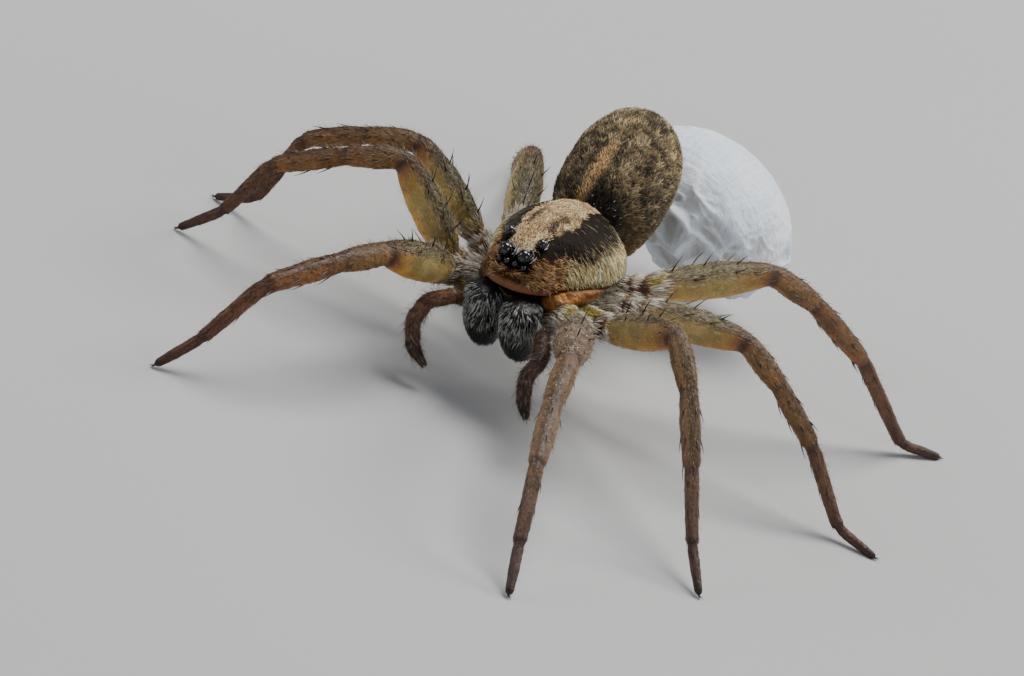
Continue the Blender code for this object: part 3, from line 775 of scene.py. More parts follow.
def build_carapace():
    surface = Surface(carapace_place, 170, 200)
    surface.add("carapace_skin", carapace_paint, SKIN_SHELL, "carapace", ["carapace"])

    coat = Coat()
    coat.grow(surface, HAIRS["band"],
              lambda s: open_top(s) * band_share(s) * (1.0 - 0.4 * bar_share(s)),
              toward(0.0, 1.0, -0.1), length=0.16, width=0.036, seed=101,
              tint=lambda s: layers(FAWN, (FAWN_PALE, 0.4 + 1.2 * noise(s.q, 0.22, 21)),
                                    (BAR, 0.9 * bar_share(s))),
              lift=22.0, bend=26.0, spread=34.0, shades=(0.15, 1.45), swirl=(50.0, 0.4))
    coat.grow(surface, HAIRS["eyes"], lambda s: open_top(s) * eye_ring(s), round_the_eyes,
              length=0.20, width=0.016, tint=WHITE_HAIR_AND_GLINT, seed=102, lift=15.0, bend=16.0, spread=4.0,
              shades=(0.75, 1.1), rings=3)
    coat.add("coat_carapace_band", HAIR_SOFT, "carapace")

    coat, down = Coat(), splayed(0.5, 0.30, -1.0)
    coat.grow(surface, HAIRS["fringe"], lambda s: (s.up > 0.02) * fringe_share(s) * (s.z > 0.16),
              down, length=lambda s: 0.15 + 0.24 * ramp(0.25, 0.75, s.z), width=0.033, seed=111,
              tint=lambda s: stained(STRAW, ((0.45, 0.37, 0.26), 0.15 + 0.9 * noise(s.q, 0.12, 23))),
              lift=11.0, bend=16.0, spread=7.0, tip=1.3, shades=(0.12, 2.1), swirl=(14.0, 0.5))
    coat.grow(surface, HAIRS["flanks"],
              lambda s: open_top(s) * (1.0 - band_share(s)) * (1.0 - fringe_share(s))
              * (1.0 - 0.9 * cheek_share(s)) * (0.10 + ramp(54.0, 38.0, steepness(s))),
              down, length=0.36, width=0.015, tint=STRAW, seed=112, lift=13.0, bend=15.0,
              spread=9.0, shades=(0.25, 1.0))
    coat.grow(surface, HAIRS["cheeks"],
              lambda s: open_top(s) * cheek_share(s) * (1.0 - 0.95 * eye_field(s))
              * (0.30 + 0.70 * (s.z > 0.30)) * (s.z > 0.19), splayed(0.9, 0.8, -0.25),
              length=0.21, width=0.025, seed=113, tint=lambda s: mix(
                  stained(CHEEK_HAIR, ((0.3, 0.25, 0.2), 0.5 + 1.2 * noise(s.q, 0.13, 25))),
                  STRAW * 0.6, ramp(-1.75, -1.1, s.y)),
              lift=16.0, bend=20.0, spread=12.0, tip=1.35, shades=(0.12, 1.5), swirl=(42.0, 0.45),
              rings=3)
    coat.add("coat_carapace_sides", HAIR_SHINY, "carapace")


def build_eyes():
    """Eight smooth round lenses."""
    rows, columns = 26, 36
    along, around = grid(rows, columns)
    across = np.sin(math.pi * along)
    ball = closed(xyz(across * np.cos(around), across * np.sin(around), np.cos(math.pi * along)))
    lenses = [(body(middle) + radius * ball, ring_faces(rows - 2, columns)) for middle, radius in EYES]
    add_joined("eye_lenses", lenses, EYE_SHINE, EYE_NODES)


def underbody_place(along, around):
    """Sternum below, and the soft orange sides between the carapace's rim and the hips."""
    station, up = station_at(along), np.sin(around)
    ring = np.sqrt(1.0 - station**2)
    y = STERNUM_MIDDLE - 0.25 + 2.45 * station
    wide = np.interp(up, (-1.0, -0.55, 0.0, 0.45, 1.0), (0.95, 1.00, 1.16, 1.66, 1.80))
    x = wide * ring**0.7 * np.cos(around) * (1.0 - 0.18 * ramp(-1.2, -2.6, y))
    z = np.where(up > 0.0, 0.52 * up * ring**0.4, (STERNUM_BOTTOM + 0.60) * -up * ring**0.6) - 0.55
    points = xyz(x, y, z)
    points[..., 2] += 0.03 * noise(points, 0.5, 31) + 0.02 * noise(points, 0.2, 32)
    return body(points)


def underbody_paint(s):
    # Darker under the head and just under the carapace's rim: painted shade.
    return layers(MEMBRANE * 0.5, (MEMBRANE * 0.2, 0.25 + 0.6 * noise(s.q, 0.5, 33)),
                  (STERNUM, ramp(-0.62, -0.85, s.z)), (SHADE_UNDER_HEAD, ramp(-1.5, -1.9, s.y)),
                  (SHADE_UNDER_RIM, ramp(-0.10, -0.02, s.z)))


MEMBRANE_LOBE = ((1.06, -2.16, -0.27), (1.22, -1.92, -0.28), (1.44, -1.46, -0.24),
                 (1.67, -0.88, -0.18), (1.89, -0.25, -0.12), (2.01, 0.45, -0.06))
MEMBRANE_RADII = (0.16, 0.31, 0.33, 0.27, 0.18, 0.07)


def membrane_place(side):
    """The swollen fold of soft skin under the carapace's rim."""
    knots = np.linspace(0.0, 1.0, len(MEMBRANE_LOBE))
    path = np.array(MEMBRANE_LOBE) * (side, 1.0, 1.0)
    size = 1.0 if side > 0.0 else 0.62  # the right one is folded away under the rim

    def place(along, around):
        radius = np.interp(along, knots, MEMBRANE_RADII) * rounded(np.abs(2.0 * along - 1.0), 5.0) * size
        ring = xyz(side * np.cos(around), 0.0, np.sin(around))
        points = between(along, knots, path) + ring * radius[..., None]
        swell = 0.05 * noise(points * (1.0, 0.6, 1.6), 0.32, 36) + 0.02 * noise(points, 0.13, 37)
        return body(points + ring * (swell * radius / 0.26)[..., None])

    return place


def membrane_paint(s):
    # Darker streaks along the folds: painted shade.
    fold_shade = 0.40 + 1.0 * noise(s.q * (1.0, 0.5, 1.8), 0.25, 38)
    # The right lobe, folded under the rim, is painted dark brown: painted shade. The rear ends are painted
    # darker brown.
    return layers(stained(MEMBRANE, ((0.45, 0.36, 0.30), fold_shade)),
                  (MEMBRANE_RIGHT_SHADE, ramp(0.2, -0.2, s.x)), (MEMBRANE_REAR, ramp(-0.7, 0.4, s.y)))


def jaw_place(side):
    def place(along, around):
        station = station_at(along)
        down = (station + 1.0) / 2.0
        ring = rounded(np.abs(station), JAW_BLUNTNESS)
        taper = ring * (1.0 - JAW_TAPER * down**2)
        bulge = JAW_BULGE * np.sin(math.pi * np.minimum(1.0, down * 1.2))
        middle = xyz(side * JAW_SPACING + JAW_LEAN * down, JAW_MIDDLE - bulge,
                     JAW_TOP - 0.02 - (JAW_LENGTH - 2.0 * JAW_COAT) * down)
        points = middle + xyz((JAW_HALF_WIDTH - JAW_COAT) * taper * np.cos(around),
                              (JAW_HALF_DEPTH - JAW_COAT) * taper * np.sin(around), 0.0)
        boss = 0.07 * bell(down - 0.12, 0.08) * ramp(0.2, 0.9, side * np.cos(around))
        swell = (0.018 * noise(points, 0.45, 41) + boss) * ramp(0.0, 0.1, ring)
        return body(points + unit(points - middle) * swell[..., None])

    return place


def jaw_paint(s):
    # Black, a little lighter at the top; the darker lower jaw is painted shade.
    return layers(JAW * 1.9, (JAW, ramp(-0.3, -1.1, s.z)), (JAW_END, ramp(-1.92, -2.16, s.z)))


def jaw_silver(s):
    """Where the silver hairs stand: high on the jaw, and most on its front."""
    z = s.z + 0.12 * noise(s.points, 0.3, 43)
    return (0.04 + ramp(-1.52, -1.10, z)) * ramp(-0.18, -0.34, z) * (0.35 + 0.65 * (s.up < 0.35))


def fang(side):
    """A curved fang behind the end of a jaw, with its root inside it."""
    share = np.linspace(0.0, 1.0, 14)
    turn = math.pi * (0.15 + 0.70 * share)
    arc = xyz(side * JAW_SPACING + JAW_LEAN + side * FANG_REACH * np.cos(turn), JAW_MIDDLE + FANG_BEHIND,
              JAW_TOP - JAW_LENGTH * FANG_DOWN - FANG_SAG * np.sin(turn))
    path = np.concatenate([arc[:1] + (-0.05 * side, -0.28, 0.10), arc[:1] + (0.0, -0.12, 0.03), arc])
    radii = np.concatenate([[FANG_RADIUS] * 2, FANG_RADIUS * (1.0 - 0.82 * share**1.5)])
    return tube(body(path), radii, 12)


def build_face():
    surface = Surface(underbody_place, 90, 120)
    surface.add("underbody_skin", underbody_paint, SKIN_SOFT, "sternum", ["sternum"])
    coat = Coat()
    coat.grow(surface, HAIRS["beard"], lambda s: ramp(-0.75, -0.95, s.z), toward(0.0, 1.0, 0.0),
              length=0.28, width=0.024, seed=131, lift=22.0, bend=26.0, spread=22.0,
              tint=lambda s: stained(GREY_HAIR * 0.7, (0.5, 0.5 + noise(s.q, 0.3, 35))))
    coat.add("coat_underbody", HAIR_SOFT, "sternum")

    down = toward(0.03, -0.10, -1.0)
    for label, side in SIDES.items():
        Surface(membrane_place(side), 80, 40).add(f"membrane_{label}", membrane_paint, SKIN_SOFT, "sternum")
        surface = Surface(jaw_place(side), 90, 90)
        surface.add(f"chelicera_skin_{label}", jaw_paint, SKIN_JAW, "jaw", [f"chelicera_{label}"])
        coat = Coat()
        coat.grow(surface, HAIRS["jaw"], lambda s: 0.25 + jaw_silver(s), down, length=0.24,
                  width=0.030, tint=JAW * 1.6, seed=145 + int(side), lift=5.0, bend=8.0, spread=12.0, rings=3,
                  swirl=(30.0, 0.5))
        # The silver hairs are painted dark low on the jaw: painted shade.
        coat.grow(surface, HAIRS["jaw_silver"], jaw_silver, down, length=0.27, width=0.021,
                  seed=140 + int(side),
                  tint=lambda s: stained(JAW_HAIR, (0.12, ramp(-1.0, -1.6, s.z))), lift=9.0,
                  bend=9.0, spread=7.0, rings=3, tip=1.2, shades=(0.10, 1.5), swirl=(34.0, 0.45))
        coat.add(f"coat_chelicera_{label}", HAIR_SOFT, "jaw")
    add_joined("fangs", [fang(side) for side in SIDES.values()], FANG_SHINE,
               ["fang_left", "fang_right"])


# --- Abdomen and egg sac --------------------------------------------------------


def abdomen_place(along, around):
    station, up = station_at(along), np.sin(around)
    ring = rounded(np.abs(station), np.where(station < 0.0, *ABDOMEN_BLUNTNESS))
    half = np.array(ABDOMEN_HALF) - ABDOMEN_COAT
    sag = (ABDOMEN_BELLY - ABDOMEN_HALF[2]) * ramp(0.6, -0.2, station) * (up < 0.0)
    x, y, z = half[0] * ring * np.cos(around), half[1] * station, (half[2] + sag) * ring * up
    points = xyz(x, y, z)
    lift = 0.045 * noise(points, 0.9, 51) + 0.02 * noise(points, 0.35, 52)
    for dimple in (-1.35, -0.35, 0.6):
        lift = lift - 0.05 * bell(np.abs(x) - 0.52, 0.09) * bell(y - dimple, 0.10) * (z > 0)
    return abdomen(points + unit(points) * lift[..., None])


def in_abdomen(s):
    return (s.q - ABDOMEN_MIDDLE) @ ABDOMEN_TURN


def black_front(s):
    """1 on the black front end, just above the waist."""
    x, y, _ = np.moveaxis(in_abdomen(s), -1, 0)
    return ramp(0.95, 0.55, np.hypot((x - 0.30) * 1.1, (y + 2.75) * 1.25))


def abdomen_tone(s):
    """Mottled brown with pale specks, a black front, and a pale stripe with dark edges."""
    q = in_abdomen(s)
    x, y, z = np.moveaxis(q, -1, 0)
    off = np.abs(x - np.interp(y, (-2.7, -1.2, -0.3), (-0.45, -0.28, -0.22)))  # from the stripe's middle
    half = np.interp(y, (-2.9, -2.2, -1.5, -0.9, -0.5, -0.3), (0.10, 0.17, 0.26, 0.22, 0.12, 0.0))
    stripe = ramp(half + 0.05, half - 0.06, off + 0.05 * noise(q, 0.22, 53)) * (z > 0) * (y < -0.25)
    edge = ramp(0.14, 0.03, np.abs(off - 0.36)) * (z > 0) * ramp(-0.2, -0.7, y)
    specks = ramp(0.22, 0.60, noise(q * (1.0, 0.7, 1.0), 0.13, 54) + 0.30 * noise(q, 0.6, 55))
    for row in range(6):
        spot = bell(np.abs(x + 0.1) - 0.62 - 0.10 * math.sin(row), 0.13) * bell(y + 1.55 - 0.62 * row, 0.13)
        specks = np.maximum(specks, 0.5 * spot * (z > 0))
    mottle = 0.45 + 1.3 * noise(q, 0.26, 57) + 0.6 * noise(q, 0.10, 58)
    tone = layers(ABDOMEN, (ABDOMEN_DARK, mottle), (ABDOMEN_SPECK, 0.7 * specks))
    tone = tone * (1.0 + 0.55 * ramp(-1.2, 0.8, y)[..., None])
    return layers(tone, (ABDOMEN_DARK * 0.8, 0.7 * edge),
                  (BELLY, ramp(0.1, -0.9, z + 0.25 * noise(q, 0.5, 56))), (STRIPE, stripe),
                  (ABDOMEN_DARK * 0.25, 0.92 * black_front(s) * (1.0 - stripe)))


def backward(s):
    """From the waist to the spinnerets, and a little down the sides."""
    return s.ahead - (0.0, 0.0, 0.25)


def build_abdomen():
    surface = Surface(abdomen_place, 120, 150)
    surface.add("abdomen_skin", lambda s: 0.75 * abdomen_tone(s), SKIN_ABDOMEN, "abdomen", ["abdomen"])
    for name, sign, seed in (("upper", 1.0, 151), ("lower", -1.0, 152)):
        coat = Coat()
        coat.grow(surface, HAIRS[f"abdomen_{name}"],
                  lambda s: (s.up * sign > -0.02) * (1.0 - 0.6 * black_front(s)),
                  backward, length=lambda s: 0.24 + 0.08 * s.along, width=0.036, seed=seed,
                  tint=lambda s: 1.12 * abdomen_tone(s), lift=19.0, spread=24.0, tip=1.25,
                  shades=(0.35, 1.65))
        # Short white bristles on the black front: painted highlights, standing for the glints on its glossy
        # black bristles.
        coat.grow(surface, HAIRS["glints"], lambda s: (black_front(s) > 0.5) * (s.up * sign > 0.0), backward,
                  length=0.10, width=0.030, tint=WHITE_HAIR_AND_GLINT, seed=seed + 5, lift=50.0)
        coat.add(f"coat_abdomen_{name}", HAIR_SOFT, "abdomen")

    start, inside = body(PEDICEL_START), abdomen(np.array([0.0, -ABDOMEN_HALF[1] * 0.7, -0.3]))
    share = np.linspace(-0.15, 1.0, 16)
    radii = PEDICEL_RADIUS * (1.0 + 0.10 * np.sin(share * 26.0))
    waist = tube(start + (inside - start) * share[:, None], radii, 24)
    add_joined("waist", [waist], SKIN_JAW, tone=WAIST)
    share = np.linspace(0.0, 1.0, 12)
    radii = SPINNERET_RADIUS * (1.0 - 0.45 * share**2) * (1.0 - 0.12 * (np.abs(share - 0.72) < 0.05))
    cones = []
    for side in (-1.0, 1.0):
        aim = unit(np.array([side * 0.04, 0.62, -0.42])) * SPINNERET_LENGTH
        for across, back, height in SPINNERET_ROOTS:
            cones.append(tube(abdomen((side * across, back, height) + aim * share[:, None]), radii, 16))
    add_joined("spinnerets", cones, SKIN_LEG, tone=SPINNERET)


def sac_relief(place):
    """(height, hollow): ropes of silk with hollows between them, mostly on the sac's lower half. hollow also
    says how much painted shade each spot gets.
    """
    drift = xyz(*(noise(place, 1.4, seed) for seed in (65, 66, 67)))
    swirl = (place + 0.5 * drift) * (1.0, 0.8, 1.1)
    low = ramp(1.9, -0.1, place[..., 2] - 0.12 * place[..., 0])
    hollow = low * ramp(-0.1, 0.65, np.abs(noise(swirl, 1.0, 61)))
    thick, thin = bell(noise(swirl, 0.95, 68), 0.12), bell(noise(swirl, 0.50, 62), 0.14)
    crease = np.exp(-np.abs(noise(swirl, 0.9, 69)) * 9.0)
    height = -0.05 - 0.16 * hollow + low * np.maximum(0.16 * thick, 0.08 * thin) - 0.02 * crease
    return height + 0.014 * noise(place, 0.22, 63), hollow * (1.0 - np.maximum(thick, 0.6 * thin))


def sac_place(along, around):
    station = station_at(along)
    seam = 1.0 + 0.012 * bell(station - 0.02 * np.sin(3 * around), 0.045)
    ring = np.sqrt(1.0 - station**2) * seam
    place = xyz(ring * np.cos(around), ring * np.sin(around), station) * SAC_HALF
    place = place + unit(place) * sac_relief(place)[0][..., None]
    return place @ SAC_TURN.T + SAC_MIDDLE + SHIFT


def sac_paint(s):
    place = (s.points - SHIFT - SAC_MIDDLE) @ SAC_TURN
    tone = stained(SILK, ((0.86, 0.90, 0.94), 0.2 + 0.8 * noise(place, 1.3, 64)))
    # The hollows between the ropes are painted grey: painted shade.
    return mix(tone, SILK_PAINTED_SHADE, 0.85 * sac_relief(place)[1])


def build_egg_sac():
    surface = Surface(sac_place, 180, 230)
    surface.add("egg_sac_skin", sac_paint, SILK_CLOTH, "egg_sac", ["egg_sac"])
    rng = np.random.default_rng(170)
    share = np.linspace(-0.5, 0.5, 14)
    strands = []
    for _ in range(SILK_STRANDS):
        row, column = rng.uniform(0.05, 0.50), rng.uniform(0.0, TURN)
        heading, span, curl = rng.uniform(0.0, TURN), rng.uniform(0.12, 0.42), rng.uniform(-0.25, 0.25)
        along = row + span * 0.5 * (share * math.cos(heading) + curl * share**2)
        around = span * 2.4 * (share * math.sin(heading) - curl * share**2)
        around = column + around / max(0.25, math.sin(math.pi * row))
        spots = surface.stand(np.clip(along, 0.02, 0.98), around)
        arch = 0.008 * rng.random() * np.cos(share * math.pi) - 0.004
        path = spots.points + spots.normal * arch[:, None]
        strands.append(tube(path, 0.014 * np.cos(share * 3.0), 6))
    add_joined("silk_strands", strands, SILK_CLOTH, tone=SILK)


# --- Legs and palps -------------------------------------------------------------


def direction(heading, rise):
    heading, rise = math.radians(heading), math.radians(rise)
    return np.array([math.cos(rise) * math.cos(heading), math.cos(rise) * math.sin(heading), math.sin(rise)])


def leg_joints(label, number):
    joints = [body(np.array(place[number]) * (SIDES[label], 1.0, 1.0)) for place in (COXA_STARTS, HIPS)]
    heading, rises, (tibia_turn, metatarsus_turn) = STANCES[label, number]
    turns = (0.0, 0.0, tibia_turn, tibia_turn + metatarsus_turn)
    lengths = SEGMENTS[number]
    for length, rise, turn in zip(lengths, rises, turns):
        joints.append(joints[-1] + length * direction(heading + turn, rise))
    fall = math.degrees(math.asin((joints[-1][2] - FOOT_HEIGHT) / lengths[4]))
    joints.append(joints[-1] + lengths[4] * direction(heading + turns[3], -fall))
    return np.array(joints)


def rounded_path(joints, corner):
    """(points, stages): the joints' path with each bend rounded."""
    points, stages = [joints[0]], [0.0]
    for index in range(1, len(joints) - 1):
        joint = joints[index]
        back, onward = joints[index - 1] - joint, joints[index + 1] - joint
        size_back, size_onward = np.linalg.norm(back), np.linalg.norm(onward)
        before, after = joint + back / size_back * corner, joint + onward / size_onward * corner
        for share in np.linspace(0.0, 1.0, 9):
            points.append(before * (1 - share) ** 2 + 2 * joint * share * (1 - share) + after * share**2)
            reach = corner * (2.0 * share - 1.0)
            stages.append(index + reach / (size_back if reach < 0 else size_onward))
    return np.array(points + [joints[-1]]), np.array(stages + [len(joints) - 1.0])


class Limb:
    """The skin of a leg or palp round the rounded path of its joints."""

    def __init__(self, joints, radii_at, corner, flat=1.0):
        points, stages = rounded_path(joints, corner)
        size = np.concatenate([[0.0], np.cumsum(np.linalg.norm(np.diff(points, axis=0), axis=1))])
        self.length, self.flat = size[-1], flat
        self.share = np.linspace(0.0, 1.0, 260)
        place = between(self.share * size[-1], size, points)
        padded, kernel = np.pad(place, ((3, 3), (0, 0)), mode="edge"), np.ones(7) / 7.0
        self.centre = xyz(*(np.convolve(padded[:, k], kernel, "valid") for k in range(3)))
        self.centre[:4], self.centre[-4:] = place[:4], place[-4:]
        self.stage = np.interp(self.share * size[-1], size, stages)
        course = unit(np.gradient(self.centre, axis=0))
        self.side = unit(np.cross(course, (0.0, 0.0, 1.0)))
        self.above = np.cross(self.side, course)
        radius = np.pad(radii_at(self.stage), 1, mode="edge")
        self.radius = np.convolve(radius, (0.25, 0.5, 0.25), "valid")

    def stage_at(self, along):
        return np.interp(along, self.share, self.stage)

    def place(self, along, around):
        radius = np.interp(along, self.share, self.radius)
        radius = radius * ramp(-0.004, 0.004, along) * ramp(1.0, 0.985, along)
        centre, side, above = (between(along, self.share, rows)
                               for rows in (self.centre, self.side, self.above))
        ring = side * (np.cos(around) * self.flat)[..., None] + above * np.sin(around)[..., None]
        points = centre + ring * radius[..., None]
        points = points + ring * (0.010 * noise(points, 0.4, 71))[..., None]
        points[..., 2] = np.maximum(points[..., 2], SKIN_GAP)
        return points


def tone_table(*rows):
    """(stages, colours) from rows of (stage, red, green, blue)."""
    stages, *tones = zip(*rows)
    return stages, np.transpose(colour(*tones))


LEG_TONES = tone_table(
    (0.00, 112, 92, 68), (0.55, 108, 84, 58), (0.70, 54, 30, 22), (0.80, 96, 62, 42), (0.93, 104, 70, 46),
    (0.985, 40, 20, 15), (1.03, 88, 50, 26), (1.10, 164, 122, 62), (1.28, 176, 150, 90),
    (1.60, 168, 146, 90), (1.82, 164, 128, 66), (1.92, 138, 94, 48), (1.98, 72, 46, 28), (2.03, 70, 44, 26),
    (2.12, 130, 94, 54), (2.45, 128, 98, 60), (2.80, 126, 92, 52), (2.94, 138, 102, 60), (3.00, 84, 60, 40),
    (3.08, 116, 88, 56), (3.45, 130, 104, 70), (3.85, 130, 100, 66), (3.96, 110, 80, 54),
    (4.02, 72, 50, 38), (4.12, 110, 82, 60), (4.50, 106, 80, 62), (4.90, 92, 66, 52), (5.00, 56, 38, 30),
    (5.15, 88, 66, 54), (5.60, 78, 58, 50), (6.00, 42, 30, 26))
LEG_HAIR_TONES = tone_table(
    (0.00, 214, 204, 186), (0.80, 206, 194, 168), (1.00, 184, 170, 146), (1.20, 180, 168, 146),
    (1.70, 168, 154, 130), (2.10, 158, 138, 112), (3.00, 148, 126, 100), (3.90, 136, 114, 92),
    (4.20, 122, 100, 84), (5.00, 102, 82, 72), (6.00, 70, 58, 54))

# How dusty a leg looks: pale hair also covers the sides of its femur, which are bare and amber
# on the other legs. And how red-brown it is beyond the knee.
DUSTY = {("left", 1): 1.0, ("left", 2): 0.25}
RUSSET = {("right", 1): 1.0, ("right", 2): 0.7, ("right", 3): 0.7, ("left", 3): 0.5, ("left", 4): 0.7}
RUSSET_SKIN, RUSSET_HAIR = (0.95, 0.66, 0.42), (1.05, 0.76, 0.52)

# (stage, angle round the leg from its left side over the top, lift, length, radius), in rows.
SPINES = [(stage, angle, 58.0 - 12.0 * abs(angle - 90.0) / 45.0, 0.64 - 0.10 * (stage > 1.6), 0.027)
          for stage, angle in ((1.22, 90), (1.45, 92), (1.72, 88), (1.38, 44), (1.66, 46), (1.38, 136),
                               (1.66, 134))]
for stages, angles, size in (((2.40, 2.86), (8, 172, 90), (24.0, 0.36, 0.021)),
                             ((3.22, 3.62), (16, 164, 90), (20.0, 0.54, 0.025)),
                             ((3.16, 3.50, 3.88), (246, 294), (17.0, 0.60, 0.027)),
                             ((4.16, 4.50), (16, 164), (17.0, 0.44, 0.021)),
                             ((4.14, 4.46), (248, 292), (14.0, 0.50, 0.022)),
                             ((4.91,), (30, 150, 235, 270, 305), (18.0, 0.24, 0.015))):
    SPINES += [(stage, angle, *size) for stage in stages for angle in angles]


def thorn(root, normal, course, lift, length, radius):
    """A spine that leans along `course` and curves down a little towards its tip."""
    parts, curve, depth, taper = 6, 14.0, 0.03, 0.88
    share = np.linspace(0.0, 1.0, parts + 1)
    rise = np.radians(lift - curve * share)[:-1, None]
    steps = (course * np.cos(rise) + normal * np.sin(rise)) * length / parts
    path = root - normal * depth + np.concatenate([np.zeros((1, 3)), np.cumsum(steps, axis=0)])
    return tube(path, radius * (1.0 - taper * share**1.3), 6)


def claws(limb):
    """Two small hooks at the tip of a leg."""
    end, bend = unit(limb.centre[-1] - limb.centre[-6]), np.linspace(0.0, 1.0, 8)[:, None]
    for side in (-limb.side[-1], limb.side[-1]):
        path = (limb.centre[-1] - end * 0.05 + side * 0.03 + bend * (end * 0.12 + side * 0.04)
                + np.sin(bend * 2.4) * 0.045 * limb.above[-1])
        path[:, 2] = np.maximum(path[:, 2], CLAW_GAP)
        yield tube(path, 0.020 * (1.0 - 0.85 * bend[:, 0]), 6)


class Leg(Limb):
    """One of the eight legs, with its markings and its hair."""

    def __init__(self, label, number):
        stages, radii = np.transpose(LEG_RADII)
        super().__init__(leg_joints(label, number),
                         lambda stage: LEG_STOUTNESS[number] * np.interp(stage, stages, radii),
                         KNEE_CORNER, flat=0.96)
        self.left = label == "left"
        self.dusty, self.russet = (table.get((label, number), 0.0) for table in (DUSTY, RUSSET))

    def paint(self, s):
        """Amber femora with a dark top, streaked brown beyond the knee."""
        top, low = ramp(0.35, 0.85, s.up), ramp(-0.1, -0.8, s.up)
        femur = ramp(1.05, 1.2, s.stage) * ramp(1.98, 1.88, s.stage)
        shin = ramp(2.0, 2.1, s.stage) * ramp(4.1, 3.9, s.stage)
        red = self.russet * ramp(2.0, 2.1, s.stage) * (0.2 + 0.8 * ramp(2.7, 3.3, s.stage))
        tone = stained(between(s.stage, *LEG_TONES), ((0.32, 0.35, 0.40), top * femur),
                       ((1.30, 1.00, 0.50), low * femur), (0.60, top * shin),
                       ((1.42, 1.20, 0.80), low * shin), (RUSSET_SKIN, red),
                       ((0.66, 0.72, 0.78), 0.8 * ramp(0.0, 0.55, noise(s.points, 0.55, 76)) * femur))
        tone = mix(tone, DUST, 0.8 * self.dusty * (femur + 0.4 * shin))
        spun = xyz(s.along * self.length / 5.0, np.cos(s.around), s.up)
        streak = noise(spun, 0.5, 73) + 0.5 * noise(spun * (3.0, 1.0, 1.0), 0.25, 74)
        return stained(tone, ((0.50, 0.46, 0.42), 0.8 * ramp(0.0, 0.7, streak) * (s.stage > 1.95)),
                       ((1.25, 1.15, 0.95), 0.7 * ramp(-0.2, -0.8, streak) * (s.stage > 1.95)))

    def hair_density(self, s):
        femur = (s.stage > 1.0) & (s.stage < 2.0)
        share = np.where(femur, 0.03 + 0.8 * self.dusty + 1.25 * ramp(0.35, 0.80, s.up), 0.70)
        return share * (s.stage > 0.9) * (1.0 + 0.5 * (s.stage > 4.0) + 0.9 * (s.stage > 5.0))

    def hair_length(self, s):
        return np.interp(s.stage, range(1, 7), (0.20 + 0.10 * self.dusty, 0.18, 0.17, 0.15, 0.13, 0.11))

    def hair_tone(self, s):
        femur = s.stage < 2.0
        # The right legs' hairs are painted darker, most on the femur: painted shade.
        light = np.where(femur, 1.0 if self.left else 0.28, 1.0 if self.left else 0.5)
        tone = stained(between(s.stage, *LEG_HAIR_TONES) * light[..., None],
                       (RUSSET_HAIR, self.russet * ramp(2.4, 3.2, s.stage)))
        tone = mix(tone, PALE_HAIR, self.dusty * np.where(femur, 0.65, 0.35) * ramp(5.0, 4.0, s.stage))
        return stained(tone, (0.26, 0.45 + 1.2 * noise(s.points, 0.15, 75)))

    def tuft_density(self, s):
        """Bands of hair on the coxa and trochanter, thin in the grooves between them."""
        groove = np.minimum(bell(s.stage - 0.72, 0.05) + bell(s.stage - 0.985, 0.05), 1.0)
        clump = 0.25 + ramp(-0.25, 0.45, noise(s.points, 0.20, 79))
        return clump * (1.0 - 0.9 * groove) * ramp(0.04, 0.10, s.stage) * ramp(1.16, 1.08, s.stage)

    def tuft_tone(self, s):
        tone = mix(PALE_HAIR, YELLOW_HAIR, ramp(0.35, 0.6, noise(s.points, 0.45, 77)))
        # The right legs' tufts are painted darker: painted shade.
        return tone * (1.0 if self.left else 0.6)


def build_leg(label, number):
    leg = Leg(label, number)
    surface = Surface(leg.place, 240, 28, leg.stage_at)
    nodes = [f"leg_{label}_{number}_{kind}"
             for kind in ("coxa", "femur", "patella_tibia", "metatarsus", "tarsus")]
    surface.add(f"leg_skin_{label}_{number}", leg.paint, SKIN_LEG, "femur", nodes)
    seed = 200 + 10 * number + (5 if leg.left else 0)
    coat = Coat()
    coat.grow(surface, HAIRS["leg"], leg.hair_density, ahead, leg.hair_length, width=0.019,
              tint=leg.hair_tone, seed=seed, lift=14.0, bend=14.0, spread=12.0, tip=1.25,
              shades=(0.2, 1.55), swirl=(18.0, 0.5))
    # Longer fine hairs that stand out from the outline.
    coat.grow(surface, HAIRS["leg_long"],
              lambda s: (s.stage > 1.05) * (s.stage < 5.2) * (0.4 + (s.up > 0.3)), ahead,
              length=lambda s: 1.5 * leg.hair_length(s), width=0.012, seed=seed + 1,
              tint=lambda s: 1.1 * between(s.stage, *LEG_HAIR_TONES), lift=46.0, bend=20.0, spread=18.0)
    # Pale wavy tufts on the hip, with the dark skin between them.
    coat.grow(surface, HAIRS["hip"], leg.tuft_density, ahead, length=0.38, width=0.027,
              tint=leg.tuft_tone, seed=seed + 2, lift=11.0, bend=20.0, spread=6.0, rings=3, tip=1.1,
              shades=(0.25, 1.7), swirl=(48.0, 0.6))
    coat.add(f"coat_leg_{label}_{number}", HAIR_SOFT, "femur")

    thorns = []
    rng = np.random.default_rng(seed + 3)
    for stage, angle, lift, length, radius in SPINES:
        along = np.interp(stage + rng.uniform(-0.03, 0.03), leg.stage, leg.share)
        around = math.radians(angle + rng.uniform(-6.0, 6.0))
        spot = surface.stand(np.array([along]), np.array([around]))
        thorns.append(thorn(spot.points, spot.normal, spot.ahead, lift + rng.uniform(-4.0, 4.0),
                            length * rng.uniform(0.88, 1.1), radius))
    add_joined(f"spines_{label}_{number}", [*thorns, *claws(leg)], HARD_DARK)


